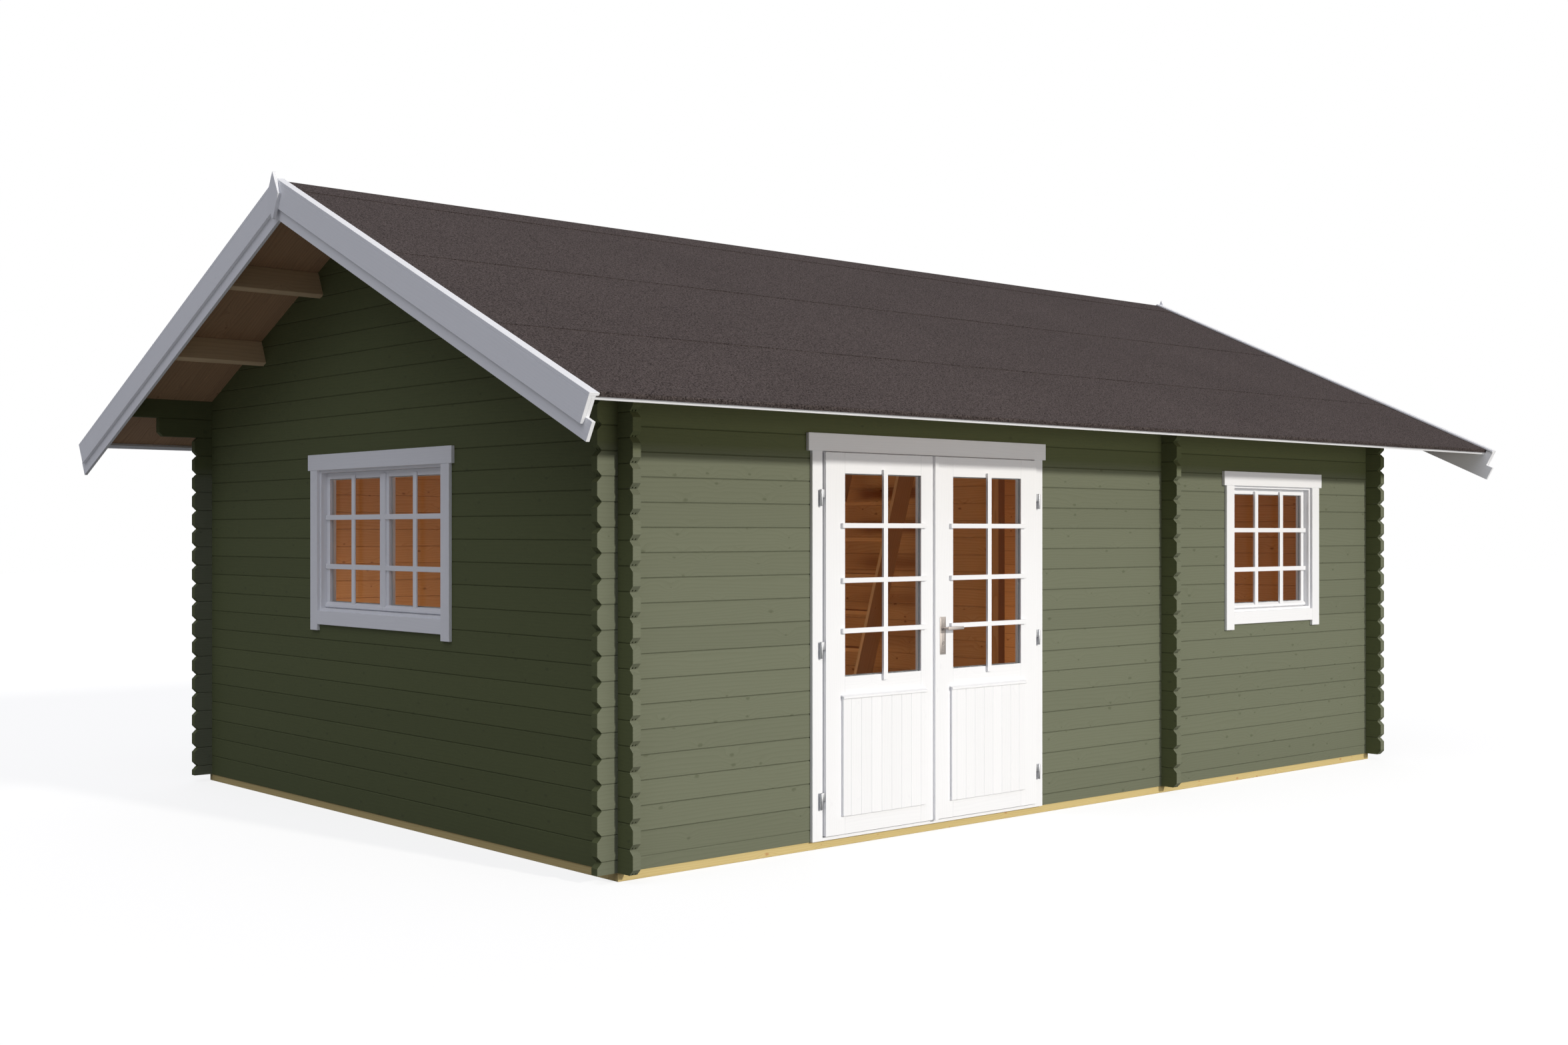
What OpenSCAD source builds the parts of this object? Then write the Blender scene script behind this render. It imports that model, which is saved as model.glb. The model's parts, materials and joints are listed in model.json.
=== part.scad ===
// Log cabin: notched log walls, gable roof with felt, a glazed double door, two windows,
// a log partition with a doorway, and a steep open stair.
// Millimetres, +Z up, door side towards -Y, origin under the middle of the building.

/* [Logs] */
// Height of one log course
log_h = 114; // [108:1:120]
// Thickness of a log
log_t = 44; // [40:1:50]
// Length of a log end past the wall that it crosses
log_end = 112; // [90:1:140]
// Chamfer on the corners of a log end
log_chamfer = 26; // [15:1:32]
// Depth of the V joint between two logs
log_groove = 4; // [2:0.5:6]
// How far the second log from the top runs out under the gable eaves
log_corbel = 338; // [200:1:450]

/* [Walls] */
// Length over the long walls
wall_l = 6388; // [6100:1:6800]
// Width over the gable walls
wall_w = 4326; // [4100:1:4600]
// Whole logs above the half log of a long wall
courses = 20; // [20:1:21]
// Height of the foundation beams
beam_h = 42; // [36:1:60]
// Width of the foundation beams
beam_w = 70; // [64:1:90]
// Setback of the foundation beams behind the wall face
beam_set = 5; // [0:1:10]
// Thickness of the floor boards
floor_t = 19; // [16:1:28]
// Clear length of the small room, from the partition to the right gable wall
small_room_l = 2286; // [2200:1:2380]

/* [Roof] */
// Pitch of the roof in degrees
roof_pitch = 24.6; // [23:0.1:26]
// Roof boards past the gable wall
gable_out = 553; // [450:1:620]
// Roof boards past the long wall, at the soffit
eave_out = 548; // [450:1:600]
// Thickness of the roof boards
board_t = 19; // [16:0.5:24]
// Thickness of the roofing felt
felt_t = 4; // [3:0.5:6]
// Felt folded over the eave end of the boards
felt_fold = 8; // [4:0.5:12]
// Play between the roof and what carries it
roof_play = 0.1; // [0.05:0.05:0.5]
// Width of a purlin
purlin_w = 44; // [38:1:60]
// Depth of a purlin
purlin_d = 145; // [120:1:170]
// Upper purlin from the ridge
purlin_upper = 692; // [640:1:740]
// Lower purlin from the ridge
purlin_lower = 1417; // [1350:1:1480]

/* [Roof trim] */
// Thickness of the bargeboards
barge_t = 18; // [16:0.5:22]
// Width of the front bargeboard
barge_w = 120; // [100:1:140]
// Width of each board behind it
barge_back_w = 90; // [80:1:105]
// End cut of the bargeboards, degrees from upright
barge_cut = 28.5; // [24:0.1:32]
// Bargeboards past the eave end of the roof boards
barge_out = 57; // [45:1:70]
// Bargeboard top edge above the soffit
barge_rise = 16; // [12:0.5:18]
// Play between two bargeboards at the ridge
mitre_gap = 0.8; // [0.5:0.1:1]
// Thickness of the cap over the bargeboards
cap_t = 18; // [14:0.5:22]
// Width of the cap
cap_w = 51; // [46:1:60]
// Thickness of the strip under the eave
eave_strip_t = 16; // [12:0.5:20]
// Width of the strip under the eave
eave_strip_w = 45; // [35:1:60]
// Half width of the finial
finial_half = 65; // [50:1:80]
// Half width of the finial foot
finial_foot = 7; // [5:0.5:12]
// Finial top above the ridge of the soffit
finial_up = 70; // [50:1:90]
// Finial shoulder below the ridge of the soffit
finial_mid = 53; // [40:1:70]
// Finial foot below the ridge of the soffit
finial_down = 175; // [150:1:200]

/* [Door] */
// Middle of the door, to the right of the middle of the main room
door_shift = 1; // [-40:1:40]
// Half width between the door casings
door_half = 799; // [770:1:830]
// Log joints up to the head of the doorway
door_courses = 17; // [17:1:17]
// Header foot below the top of the doorway in the logs
door_head = 77.5; // [70:0.5:85]
// Width of the door casings
door_casing_w = 68; // [60:1:80]
// Casing thickness
casing_t = 18; // [14:0.5:22]
// Height of the header boards
header_h = 89; // [85:1:95]
// Thickness of the header boards
header_t = 20; // [16:0.5:26]
// Header boards past the casings
header_out = 26; // [18:1:34]
// Width of the frame hidden behind the casings
jamb_w = 46; // [40:1:50]
// Door stop standing out of the frame
stop_w = 15; // [12:0.5:20]
// Height of the door sill
sill_h = 16.5; // [12:0.5:20]
// Gap round a door leaf
leaf_gap = 5; // [5:0.5:7]
// Gap between the two leaves
meeting_gap = 7; // [7:0.5:9]
// Thickness of a leaf
leaf_t = 42; // [40:0.5:46]
// Leaf face in front of the casings
leaf_proud = 18; // [16:0.5:20]
// Outer stile of a leaf
stile_w = 130; // [110:1:140]
// Meeting stile of a leaf
meeting_stile_w = 118; // [110:1:126]
// Top rail of a leaf
top_rail_h = 103; // [90:1:115]
// Glass height of a leaf
leaf_glass_h = 1007; // [950:1:1040]
// Lock rail between glass and panel
lock_rail_h = 100; // [90:1:115]
// Height of the lower panel
panel_h = 590; // [540:1:600]
// Panel past the glass on each side
panel_over = 24; // [15:1:40]
// Panel in front of the leaf
panel_t = 14; // [10:0.5:18]
// Glass thickness
glass_t = 4; // [4:0.5:6]
// Glass behind the face of a leaf
leaf_glass_set = 13; // [10:0.5:18]
// Width of the strip on the meeting stile
astragal_w = 27; // [22:1:34]
// Thickness of that strip
astragal_t = 15; // [10:0.5:18]

/* [Door fittings] */
// Hinge line from the edge of a leaf
hinge_off = 26; // [24:0.5:30]
// Hinge line behind the leaf face
hinge_set = 5; // [4:0.5:7]
// Radius of a hinge knuckle
knuckle_r = 8; // [7:0.5:8]
// Height of a hinge
hinge_h = 82; // [70:1:95]
// Radius of a hinge pin
pin_r = 3.7; // [3:0.1:4.5]
// Clearance round a pin
pin_gap = 0.3; // [0.2:0.05:0.5]
// Gap between two knuckles
knuckle_gap = 0.6; // [0.4:0.1:1]
// Thickness of a hinge arm
hinge_arm = 4; // [3:0.5:6]
// Hinge heights above the beam, as shares of the leaf height
hinge_shares = [0.093, 0.485, 0.881];
// Handle plate width
plate_w = 43; // [36:1:48]
// Handle plate height
plate_h = 196; // [170:1:215]
// Handle plate thickness
plate_t = 6; // [4:0.5:8]
// Handle plate from the meeting edge
plate_off = 37; // [30:1:44]
// Foot of the handle plate above the beam
plate_z = 880; // [850:1:900]
// Lever above the foot of the plate
lever_z = 137; // [120:1:150]
// Lever length
lever_l = 112; // [100:1:125]
// Lever standing out of the leaf
lever_out = 52; // [45:1:60]
// Height of the lever bar
lever_h = 19; // [16:0.5:22]
// Thickness of the lever bar
lever_t = 9; // [7:0.5:12]
// Radius of the spindle
spindle_r = 6; // [5:0.5:7]
// Radius of the bore through the leaf
spindle_bore = 12; // [11:0.5:14]

/* [Windows] */
// Half width of the gable window between casings
gable_win_half = 671; // [640:1:700]
// Log joints below and above the gable window
gable_win_joints = [9, 17];
// Middle of the front window, to the right of the middle of the small room
front_win_shift = -4; // [-40:1:40]
// Half width of the front window between casings
front_win_half = 446; // [420:1:470]
// Log joints below and above the front window
front_win_joints = [8, 16];
// Width of the window casings
win_casing_w = 83; // [76:1:92]
// Casing foot below the window opening in the logs
casing_drop = 62; // [50:1:70]
// Apron board top above the opening in the logs
apron_up = 49; // [42:1:56]
// Apron board foot below the opening in the logs
apron_down = 28; // [20:1:36]
// Header foot below the top of the opening in the logs
win_head = 71; // [62:1:80]
// Frame past the casings
win_reveal = 15; // [10:0.5:20]
// Depth of the frame into the room
win_frame_d = 80; // [75:1:90]
// Sash face behind the wall face
sash_set = 36; // [30:1:40]
// Sash depth
sash_d = 40; // [36:1:44]
// Sash member width
sash_w = 35; // [30:1:42]
// Meeting stile of a sash
sash_meet_w = 50; // [44:1:56]
// Play of a sash in its frame
sash_gap = 0.5; // [0.3:0.1:0.8]
// Glass behind the sash face
sash_glass_set = 15; // [12:0.5:20]

/* [Inside] */
// Partition doorway, middle, from the front wall face
inner_door_s = 895; // [870:1:920]
// Partition doorway half width
inner_door_half = 375; // [350:1:400]
// Log joints up to the head of the partition doorway
inner_door_joints = 17; // [17:1:17]
// Whole logs of the partition
partition_courses = 20; // [20:1:20]
// Casing width of the partition doorway
inner_casing_w = 85; // [75:1:95]
// Stair side next to the door, from the front wall face
stair_s = 1950; // [1900:1:2000]
// Stair width
stair_w = 640; // [600:1:680]
// Stair rise
stair_rise = 244; // [238:1:248]
// Stair going
stair_going = 74.5; // [70:0.5:80]
// Stair treads
stair_n = 8; // [8:1:8]
// Tread depth
tread_d = 150; // [130:1:170]
// Tread thickness
tread_t = 27; // [22:1:32]
// Stringer thickness
stringer_t = 27; // [22:1:32]
// Stringer width, level
stringer_w = 150; // [140:1:170]
// Depth of a tread housing
housing_d = 10; // [6:1:13]

/* [Build] */
// Which sub-part to show, or all

/* [Hidden] */
$fn = 32;

// Colours
green = "#66705a";
white = "#e4e4ea";
timber = "#8a5a3a";
yellow = "#c8a560";
dark = "#4b3020";
grey = "#565049";
steel = "#9a9c9e";
clear = "#b8c8c8";

// Overrun of a cut past the solid that it cuts, and tolerance of a comparison
over = 1;
near = 0.01;

half_l = wall_l / 2;
half_w = wall_w / 2;
tan_r = tan(roof_pitch);
cos_r = cos(roof_pitch);
sin_r = sin(roof_pitch);
half_log = log_h / 2;
quarter_log = log_h / 4;

// The partition, and the middles of the door and the front window in their rooms
room_end = half_l - log_t;
partition_x1 = room_end - small_room_l;
partition_x0 = partition_x1 - log_t;
partition_x = (partition_x0 + partition_x1) / 2;
door_x = (partition_x0 - room_end) / 2 + door_shift;
front_win_x = (partition_x1 + room_end) / 2 + front_win_shift;

// Joint heights: a long wall starts with a half log, a gable wall with a whole one
function long_joint(k) = beam_h + half_log + k * log_h;
function cross_joint(k) = beam_h + k * log_h;
eave_z = long_joint(courses);
ridge_z = eave_z + tan_r * (half_w - log_t);
wall_top_z = eave_z - tan_r * log_t;
cross_n = floor((ridge_z - beam_h) / log_h);
long_joints = [for (k = [0 : courses]) if (long_joint(k) < wall_top_z - log_groove) long_joint(k)];
cross_joints = [for (k = [1 : cross_n]) cross_joint(k)];
// The lowest cross log is whole, so its ends are chamfered at the foot too
cross_ends = concat([beam_h], cross_joints);

// Points in the roof's cross-section: level distance from the ridge, height above the soffit
function soffit(e) = ridge_z - tan_r * e;
function roof_pt(e, d) = [e + d * sin_r, soffit(e) + d * cos_r];
function ridge_pt(d) = [0, ridge_z + d / cos_r];
board_end = half_w + eave_out;
felt_top = board_t + felt_t;
roof_half = half_l + gable_out;

// End of a bargeboard: level distance where the end cut meets a line parallel to the slope
cut_run = tan(barge_cut) / (1 + tan(barge_cut) * tan_r);
barge_end = board_end + barge_out;
function barge_e(d_top, d) = barge_end - cut_run * (d_top - d) / cos_r;
function slope_pt(e, d) = [e, ridge_z + d / cos_r - tan_r * e];

door_head_z = long_joint(door_courses);
header_z = door_head_z - door_head;
leaf_face_y = -half_w - casing_t - leaf_proud;
leaf_edge = door_half - leaf_gap;
leaf_z0 = beam_h + sill_h + leaf_gap;
leaf_z1 = header_z - leaf_gap;
glass_z1 = leaf_z1 - top_rail_h;
glass_z0 = glass_z1 - leaf_glass_h;
panel_z1 = glass_z0 - lock_rail_h;
panel_z0 = panel_z1 - panel_h;
hinge_x = leaf_edge + hinge_off;
hinge_y = leaf_face_y + hinge_set;
rough_half = door_half + jamb_w;
plate_x = door_x + meeting_gap / 2 + plate_off;
spindle_z = beam_h + plate_z + lever_z;
floor_z = beam_h + floor_t;

// Sweeps: a drawing in Y and Z run along X, and a drawing in X and Z run along Y
module along_x(x0, x1) {
    translate([x0, 0, 0]) rotate([90, 0, 90]) linear_extrude(height = x1 - x0) children();
}
module along_y(y0, y1) {
    translate([0, y1, 0]) rotate([90, 0, 0]) linear_extrude(height = y1 - y0) children();
}
module block(x0, x1, y0, y1, z0, z1) {
    translate([x0, y0, z0]) cube([x1 - x0, y1 - y0, z1 - z0]);
}
module both_slopes() {
    children();
    mirror([0, 1, 0]) children();
}
module both_ends() {
    children();
    mirror([1, 0, 0]) children();
}

// Chamfered log ends going up, at x, with the notches cut towards d
function has(js, z) = len([for (j = js) if (abs(j - z) < near) j]) > 0;
function log_ends(x, d, js, z0, z1) = [
    if (!has(js, z0)) [x, z0],
    for (j = js) if (j > z0 - near && j < z1 + near) each [
        if (j > z0 + near) [x, j - log_chamfer],
        [x + d * log_chamfer, j],
        if (j < z1 - near) [x, j + log_chamfer]
    ],
    if (!has(js, z1)) [x, z1]
];
function plain_end(x, z0, z1) = [[x, z0], [x, z1]];
function reversed(v) = [for (i = [len(v) - 1 : -1 : 0]) v[i]];

// Face of a stack of logs with V joints, going up, at u, the V cut towards d
function log_face(u, d, js, z0, z1) = [
    [u, z0],
    for (j = js) if (j > z0 + log_groove && j < z1 - log_groove) each [
        [u, j - log_groove], [u + d * log_groove, j], [u, j + log_groove]
    ],
    [u, z1]
];

// Where the logs of the crossing wall pass, one box of half a log at each course
module crossing_slots(u0, u1, first, z0, z1) {
    for (k = [-1 : cross_n]) {
        low = beam_h + first + k * log_h;
        if (low + half_log > z0 + near && low < z1 - near)
            translate([u0, max(low, z0 - over)])
                square([u1 - u0, min(low + half_log, z1 + over) - max(low, z0 - over)]);
    }
}

// Long walls: cross-section of the front wall, and its elevation between two ends
module long_section() {
    polygon(concat(
        log_face(-half_w, 1, long_joints, beam_h, wall_top_z - roof_play),
        reversed(log_face(-half_w + log_t, -1, long_joints, beam_h, eave_z - roof_play))
    ));
}
module long_slots(z0, z1, left, mid, right) {
    if (left) crossing_slots(-half_l, -half_l + log_t, quarter_log, z0, z1);
    if (mid && z0 < cross_joint(partition_courses) - half_log)
        crossing_slots(partition_x0, partition_x1, quarter_log, z0,
                       min(z1, cross_joint(partition_courses) - quarter_log));
    if (right) crossing_slots(half_l - log_t, half_l, quarter_log, z0, z1);
}
module long_wall(ends0, ends1, z0, z1, left, mid, right) {
    intersection() {
        along_x(-roof_half - over, roof_half + over) long_section();
        along_y(-half_w - over, -half_w + log_t + over) difference() {
            polygon(concat(ends0, reversed(ends1)));
            long_slots(z0, z1, left, mid, right);
        }
    }
}
long_tip = half_l + log_end;
door_x0 = door_x - rough_half;
door_x1 = door_x + rough_half;
front_win_rough = front_win_half + jamb_w;
win_x0 = front_win_x - front_win_rough;
win_x1 = front_win_x + front_win_rough;
win_z0 = long_joint(front_win_joints[0]);
win_z1 = long_joint(front_win_joints[1]);

// Ends of the eave logs: the two uppermost run out to carry the gable eaves
corbel_z = long_joint(courses - 2);
top_z = long_joint(courses - 1);
function corbel_ends(s) = [
    [s * (half_l + log_corbel - log_chamfer), corbel_z],
    [s * (half_l + log_corbel), corbel_z + log_chamfer],
    [s * (half_l + log_corbel), top_z],
    [s * roof_half, top_z],
    [s * roof_half, eave_z + over]
];

module front_wall_left() {
    color(green) long_wall(log_ends(-long_tip, 1, long_joints, beam_h, door_head_z),
        plain_end(door_x0, beam_h, door_head_z), beam_h, door_head_z, true, false, false);
}
module front_wall_middle() {
    color(green) long_wall(plain_end(door_x1, beam_h, win_z1),
        plain_end(win_x0, beam_h, win_z1), beam_h, win_z1, false, true, false);
}
module front_wall_right() {
    color(green) long_wall(plain_end(win_x1, beam_h, win_z1),
        log_ends(long_tip, -1, long_joints, beam_h, win_z1), beam_h, win_z1, false, false, true);
}
module front_wall_under_window() {
    color(green) long_wall(plain_end(win_x0, beam_h, win_z0),
        plain_end(win_x1, beam_h, win_z0), beam_h, win_z0, false, false, false);
}
module front_wall_over_window() {
    color(green) long_wall(plain_end(door_x1, win_z1, door_head_z),
        log_ends(long_tip, -1, long_joints, win_z1, door_head_z), win_z1, door_head_z, false, true, true);
}
module front_wall_over_door() {
    color(green) long_wall(log_ends(-long_tip, 1, long_joints, door_head_z, corbel_z),
        log_ends(long_tip, -1, long_joints, door_head_z, corbel_z), door_head_z, corbel_z, true, true, true);
}
module back_wall() {
    color(green) mirror([0, 1, 0]) long_wall(log_ends(-long_tip, 1, long_joints, beam_h, corbel_z),
        log_ends(long_tip, -1, long_joints, beam_h, corbel_z), beam_h, corbel_z, true, true, true);
}
module eave_logs() {
    color(green) both_slopes() long_wall(corbel_ends(-1), corbel_ends(1), corbel_z, eave_z, true, true, true);
}

// Gable walls and partition: cross-section from u, and an elevation in Y and Z
cross_tip = half_w + log_end;
module cross_section(u, z1) {
    polygon(concat(
        log_face(u, 1, cross_joints, beam_h, z1),
        reversed(log_face(u + log_t, -1, cross_joints, beam_h, z1))
    ));
}
module cross_wall(u, ends0, ends1, z0, z1, front, back, top) {
    intersection() {
        along_y(-cross_tip - over, cross_tip + over) cross_section(u, top);
        along_x(u - over, u + log_t + over) difference() {
            polygon(concat(ends0, reversed(ends1)));
            if (front) crossing_slots(-half_w, -half_w + log_t, -quarter_log, z0, z1);
            if (back) crossing_slots(half_w - log_t, half_w, -quarter_log, z0, z1);
        }
    }
}
module under_roof() {
    intersection() {
        children();
        along_x(-roof_half, roof_half)
            polygon([slope_pt(0, -roof_play), slope_pt(roof_half, -roof_play), [roof_half, 0],
                     [-roof_half, 0], [-roof_half, slope_pt(roof_half, -roof_play)[1]]]);
    }
}
module purlin_drawing(e, top, play) {
    e0 = e - play * cos_r;
    e1 = e + (purlin_w + play) * cos_r;
    foot = -purlin_d - play;
    polygon([roof_pt(e0, top), roof_pt(e1, top), roof_pt(e1, foot), roof_pt(e0, foot)]);
}
module purlin_holes() {
    both_slopes() {
        along_x(-roof_half, roof_half) purlin_drawing(purlin_upper, over, roof_play);
        along_x(-roof_half, roof_half) purlin_drawing(purlin_lower, over, roof_play);
    }
}
gwin_z0 = cross_joint(gable_win_joints[0]);
gwin_z1 = cross_joint(gable_win_joints[1]);
gwin_rough = gable_win_half + jamb_w;
gable_top = ridge_z + over;

module left_gable_lower() {
    color(green) cross_wall(-half_l, log_ends(-cross_tip, 1, cross_ends, beam_h, gwin_z0),
        log_ends(cross_tip, -1, cross_ends, beam_h, gwin_z0), beam_h, gwin_z0, true, true, gable_top);
}
module left_gable_sides() {
    color(green) {
        cross_wall(-half_l, log_ends(-cross_tip, 1, cross_ends, gwin_z0, gwin_z1),
            plain_end(-gwin_rough, gwin_z0, gwin_z1), gwin_z0, gwin_z1, true, false, gable_top);
        cross_wall(-half_l, plain_end(gwin_rough, gwin_z0, gwin_z1),
            log_ends(cross_tip, -1, cross_ends, gwin_z0, gwin_z1), gwin_z0, gwin_z1, false, true, gable_top);
    }
}
module gable_above(u, z0) {
    difference() {
        under_roof() cross_wall(u, log_ends(-cross_tip, 1, cross_ends, z0, gable_top),
            log_ends(cross_tip, -1, cross_ends, z0, gable_top), z0, eave_z, true, true, gable_top);
        purlin_holes();
    }
}
module left_gable_upper() {
    color(green) gable_above(-half_l, gwin_z1);
}
module right_gable() {
    color(green) gable_above(half_l - log_t, beam_h);
}
inner_y0 = -half_w + inner_door_s - inner_door_half - jamb_w;
inner_y1 = -half_w + inner_door_s + inner_door_half + jamb_w;
inner_head_z = cross_joint(inner_door_joints);
partition_z = cross_joint(partition_courses);
module partition_front() {
    color(green) cross_wall(partition_x0, log_ends(-cross_tip, 1, cross_ends, beam_h, inner_head_z),
        plain_end(inner_y0, beam_h, inner_head_z), beam_h, inner_head_z, true, false, gable_top);
}
module partition_back() {
    color(green) cross_wall(partition_x0, plain_end(inner_y1, beam_h, inner_head_z),
        log_ends(cross_tip, -1, cross_ends, beam_h, inner_head_z),
        beam_h, inner_head_z, false, true, gable_top);
}
module partition_top() {
    color(green) under_roof() cross_wall(partition_x0,
        log_ends(-cross_tip, 1, cross_ends, inner_head_z, partition_z),
        log_ends(cross_tip, -1, cross_ends, inner_head_z, partition_z),
        inner_head_z, partition_z, true, true, partition_z);
}

// Foundation and floor
beam_x = half_l - beam_set;
beam_y = half_w - beam_set;
joist_n = 4;
module foundation_beams() {
    color(yellow) union() {
        block(-beam_x, beam_x, -beam_y, -beam_y + beam_w, 0, beam_h);
        block(-beam_x, beam_x, beam_y - beam_w, beam_y, 0, beam_h);
        for (x = [-beam_x, partition_x - beam_w / 2, beam_x - beam_w])
            block(x, x + beam_w, -beam_y, beam_y, 0, beam_h);
        for (i = [1 : joist_n]) {
            y = -beam_y + i * 2 * beam_y / (joist_n + 1);
            block(-beam_x, beam_x, y - beam_w / 2, y + beam_w / 2, 0, beam_h);
        }
    }
}
floor_gap = beam_set;
module floor_boards() {
    color(timber) {
        block(-half_l + log_t + floor_gap, partition_x0 - floor_gap,
              -half_w + log_t + floor_gap, half_w - log_t - floor_gap, beam_h, floor_z);
        block(partition_x1 + floor_gap, half_l - log_t - floor_gap,
              -half_w + log_t + floor_gap, half_w - log_t - floor_gap, beam_h, floor_z);
    }
}

// Partition doorway: frame through the logs and casings on the main room's side
module partition_door_frame() {
    clear_z = inner_head_z - jamb_w;
    color(timber) union() {
        block(partition_x0, partition_x1, inner_y0, inner_y0 + jamb_w, beam_h, inner_head_z);
        block(partition_x0, partition_x1, inner_y1 - jamb_w, inner_y1, beam_h, inner_head_z);
        block(partition_x0, partition_x1, inner_y0, inner_y1, clear_z, inner_head_z);
        block(partition_x0, partition_x1, inner_y0, inner_y1, beam_h, floor_z);
        for (y = [inner_y0 + jamb_w - inner_casing_w, inner_y1 - jamb_w])
            block(partition_x0 - casing_t, partition_x0, y, y + inner_casing_w,
                floor_z, clear_z + inner_casing_w);
        block(partition_x0 - casing_t, partition_x0, inner_y0 + jamb_w - inner_casing_w,
              inner_y1 - jamb_w + inner_casing_w, clear_z, clear_z + inner_casing_w);
    }
}

// Stair: treads housed in two raking stringers that lean on the partition
stair_y0 = -half_w + stair_s;
stair_y1 = stair_y0 + stair_w;
stair_h = stair_rise * (stair_n + 1);
stair_run = stair_going * (stair_n + 1);
stair_x0 = partition_x0 - stair_run - stringer_w;
module stringer_drawing() {
    polygon([[stair_x0, floor_z], [stair_x0 + stringer_w, floor_z],
             [partition_x0, floor_z + stair_h], [partition_x0 - stringer_w, floor_z + stair_h]]);
}
function tread_x(i) = stair_x0 + i * stair_going;
module tread(i, y0, y1) {
    block(tread_x(i), tread_x(i) + tread_d, y0, y1,
        floor_z + i * stair_rise - tread_t, floor_z + i * stair_rise);
}
module stair_treads() {
    color(timber) for (i = [1 : stair_n])
        tread(i, stair_y0 + stringer_t - housing_d, stair_y1 - stringer_t + housing_d);
}
module stair_stringers() {
    color(timber) for (y = [stair_y0, stair_y1 - stringer_t])
        difference() {
            along_y(y, y + stringer_t) stringer_drawing();
            for (i = [1 : stair_n])
                tread(i, stair_y0 + stringer_t - housing_d, stair_y1 - stringer_t + housing_d);
        }
}

// Door surround
module door_frame() {
    y0 = -half_w;
    y1 = -half_w + log_t;
    ys = leaf_face_y + leaf_t + leaf_gap;
    color(white) union() {
        for (s = [-1, 1]) {
            block(min(s * door_half, s * rough_half) + door_x, max(s * door_half, s * rough_half) + door_x,
                  y0, y1, beam_h, door_head_z);
            block(min(s * (door_half - stop_w), s * rough_half) + door_x,
                  max(s * (door_half - stop_w), s * rough_half) + door_x, ys, y1, beam_h, door_head_z);
        }
        block(door_x0, door_x1, y0, y1, header_z, door_head_z);
        block(door_x0, door_x1, ys, y1, header_z - stop_w, door_head_z);
        block(door_x0, door_x1, y0, y1, beam_h, beam_h + sill_h);
        block(door_x0, door_x1, ys, y1, beam_h, leaf_z0 + leaf_gap);
    }
}
module door_casing() {
    y1 = -half_w;
    y0 = y1 - casing_t;
    tip = door_half + door_casing_w;
    color(white) union() {
        block(door_x - tip, door_x - door_half, y0, y1, beam_h, header_z);
        block(door_x + door_half, door_x + tip, y0, y1, beam_h, header_z);
        block(door_x - tip, door_x + tip, y0, y1, beam_h, beam_h + sill_h);
        block(door_x - tip - header_out, door_x + tip + header_out, y1 - header_t, y1,
              header_z, header_z + header_h);
    }
}

// Leaves: drawn for the left one, in X from the middle of the door
leaf_in = meeting_gap / 2;
module leaf_body() {
    x0 = -leaf_edge;
    x1 = -leaf_in;
    gx0 = x0 + stile_w;
    gx1 = x1 - meeting_stile_w;
    difference() {
        union() {
            block(x0, x1, leaf_face_y, leaf_face_y + leaf_t, leaf_z0, leaf_z1);
            block(gx0 - panel_over, gx1 + panel_over, leaf_face_y - panel_t, leaf_face_y + over,
                panel_z0, panel_z1);
        }
        block(gx0, gx1, leaf_face_y - over, leaf_face_y + leaf_t + over, glass_z0, glass_z1);
    }
}
module leaf_pane() {
    block(-leaf_edge + stile_w, -leaf_in - meeting_stile_w,
          leaf_face_y + leaf_glass_set, leaf_face_y + leaf_glass_set + glass_t, glass_z0, glass_z1);
}
function hinge_z(i) = leaf_z0 + hinge_shares[i] * (leaf_z1 - leaf_z0);
module leaf_knuckles() {
    for (i = [0 : len(hinge_shares) - 1])
        translate([-hinge_x, hinge_y, hinge_z(i)]) difference() {
            union() {
                translate([0, 0, knuckle_gap / 2]) cylinder(r = knuckle_r, h = (hinge_h - knuckle_gap) / 2);
                translate([0, -hinge_arm / 2, knuckle_gap / 2])
                    cube([hinge_off, hinge_arm, (hinge_h - knuckle_gap) / 2]);
            }
            translate([0, 0, -over]) cylinder(r = pin_r + pin_gap, h = hinge_h + 2 * over);
        }
}
module frame_knuckles() {
    for (i = [0 : len(hinge_shares) - 1])
        translate([-hinge_x, hinge_y, hinge_z(i)]) union() {
            translate([0, 0, -hinge_h / 2]) cylinder(r = knuckle_r, h = (hinge_h - knuckle_gap) / 2);
            translate([0, 0, -hinge_h / 2]) cylinder(r = pin_r, h = hinge_h);
            translate([-hinge_arm / 2, 0, -hinge_h / 2])
                cube([hinge_arm, -half_w - casing_t - hinge_y, (hinge_h - knuckle_gap) / 2]);
        }
}
module at_door() {
    translate([door_x, 0, 0]) children();
}
module right_hand() {
    mirror([1, 0, 0]) children();
}
module left_leaf() {
    color(white) at_door() union() {
        leaf_body();
        block(-leaf_in - astragal_w, -leaf_in, leaf_face_y - astragal_t, leaf_face_y + over,
            leaf_z0, leaf_z1);
    }
}
module left_leaf_glass() {
    color(clear) at_door() leaf_pane();
}
module left_leaf_hinges() {
    color(steel) at_door() leaf_knuckles();
}
module right_leaf() {
    color(white) difference() {
        at_door() right_hand() leaf_body();
        translate([plate_x, leaf_face_y - over, spindle_z]) rotate([-90, 0, 0])
            cylinder(r = spindle_bore, h = leaf_t + 2 * over);
    }
}
module right_leaf_glass() {
    color(clear) at_door() right_hand() leaf_pane();
}
module right_leaf_hinges() {
    color(steel) at_door() right_hand() leaf_knuckles();
}
module hinge_pins() {
    color(steel) at_door() {
        frame_knuckles();
        right_hand() frame_knuckles();
    }
}
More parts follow.
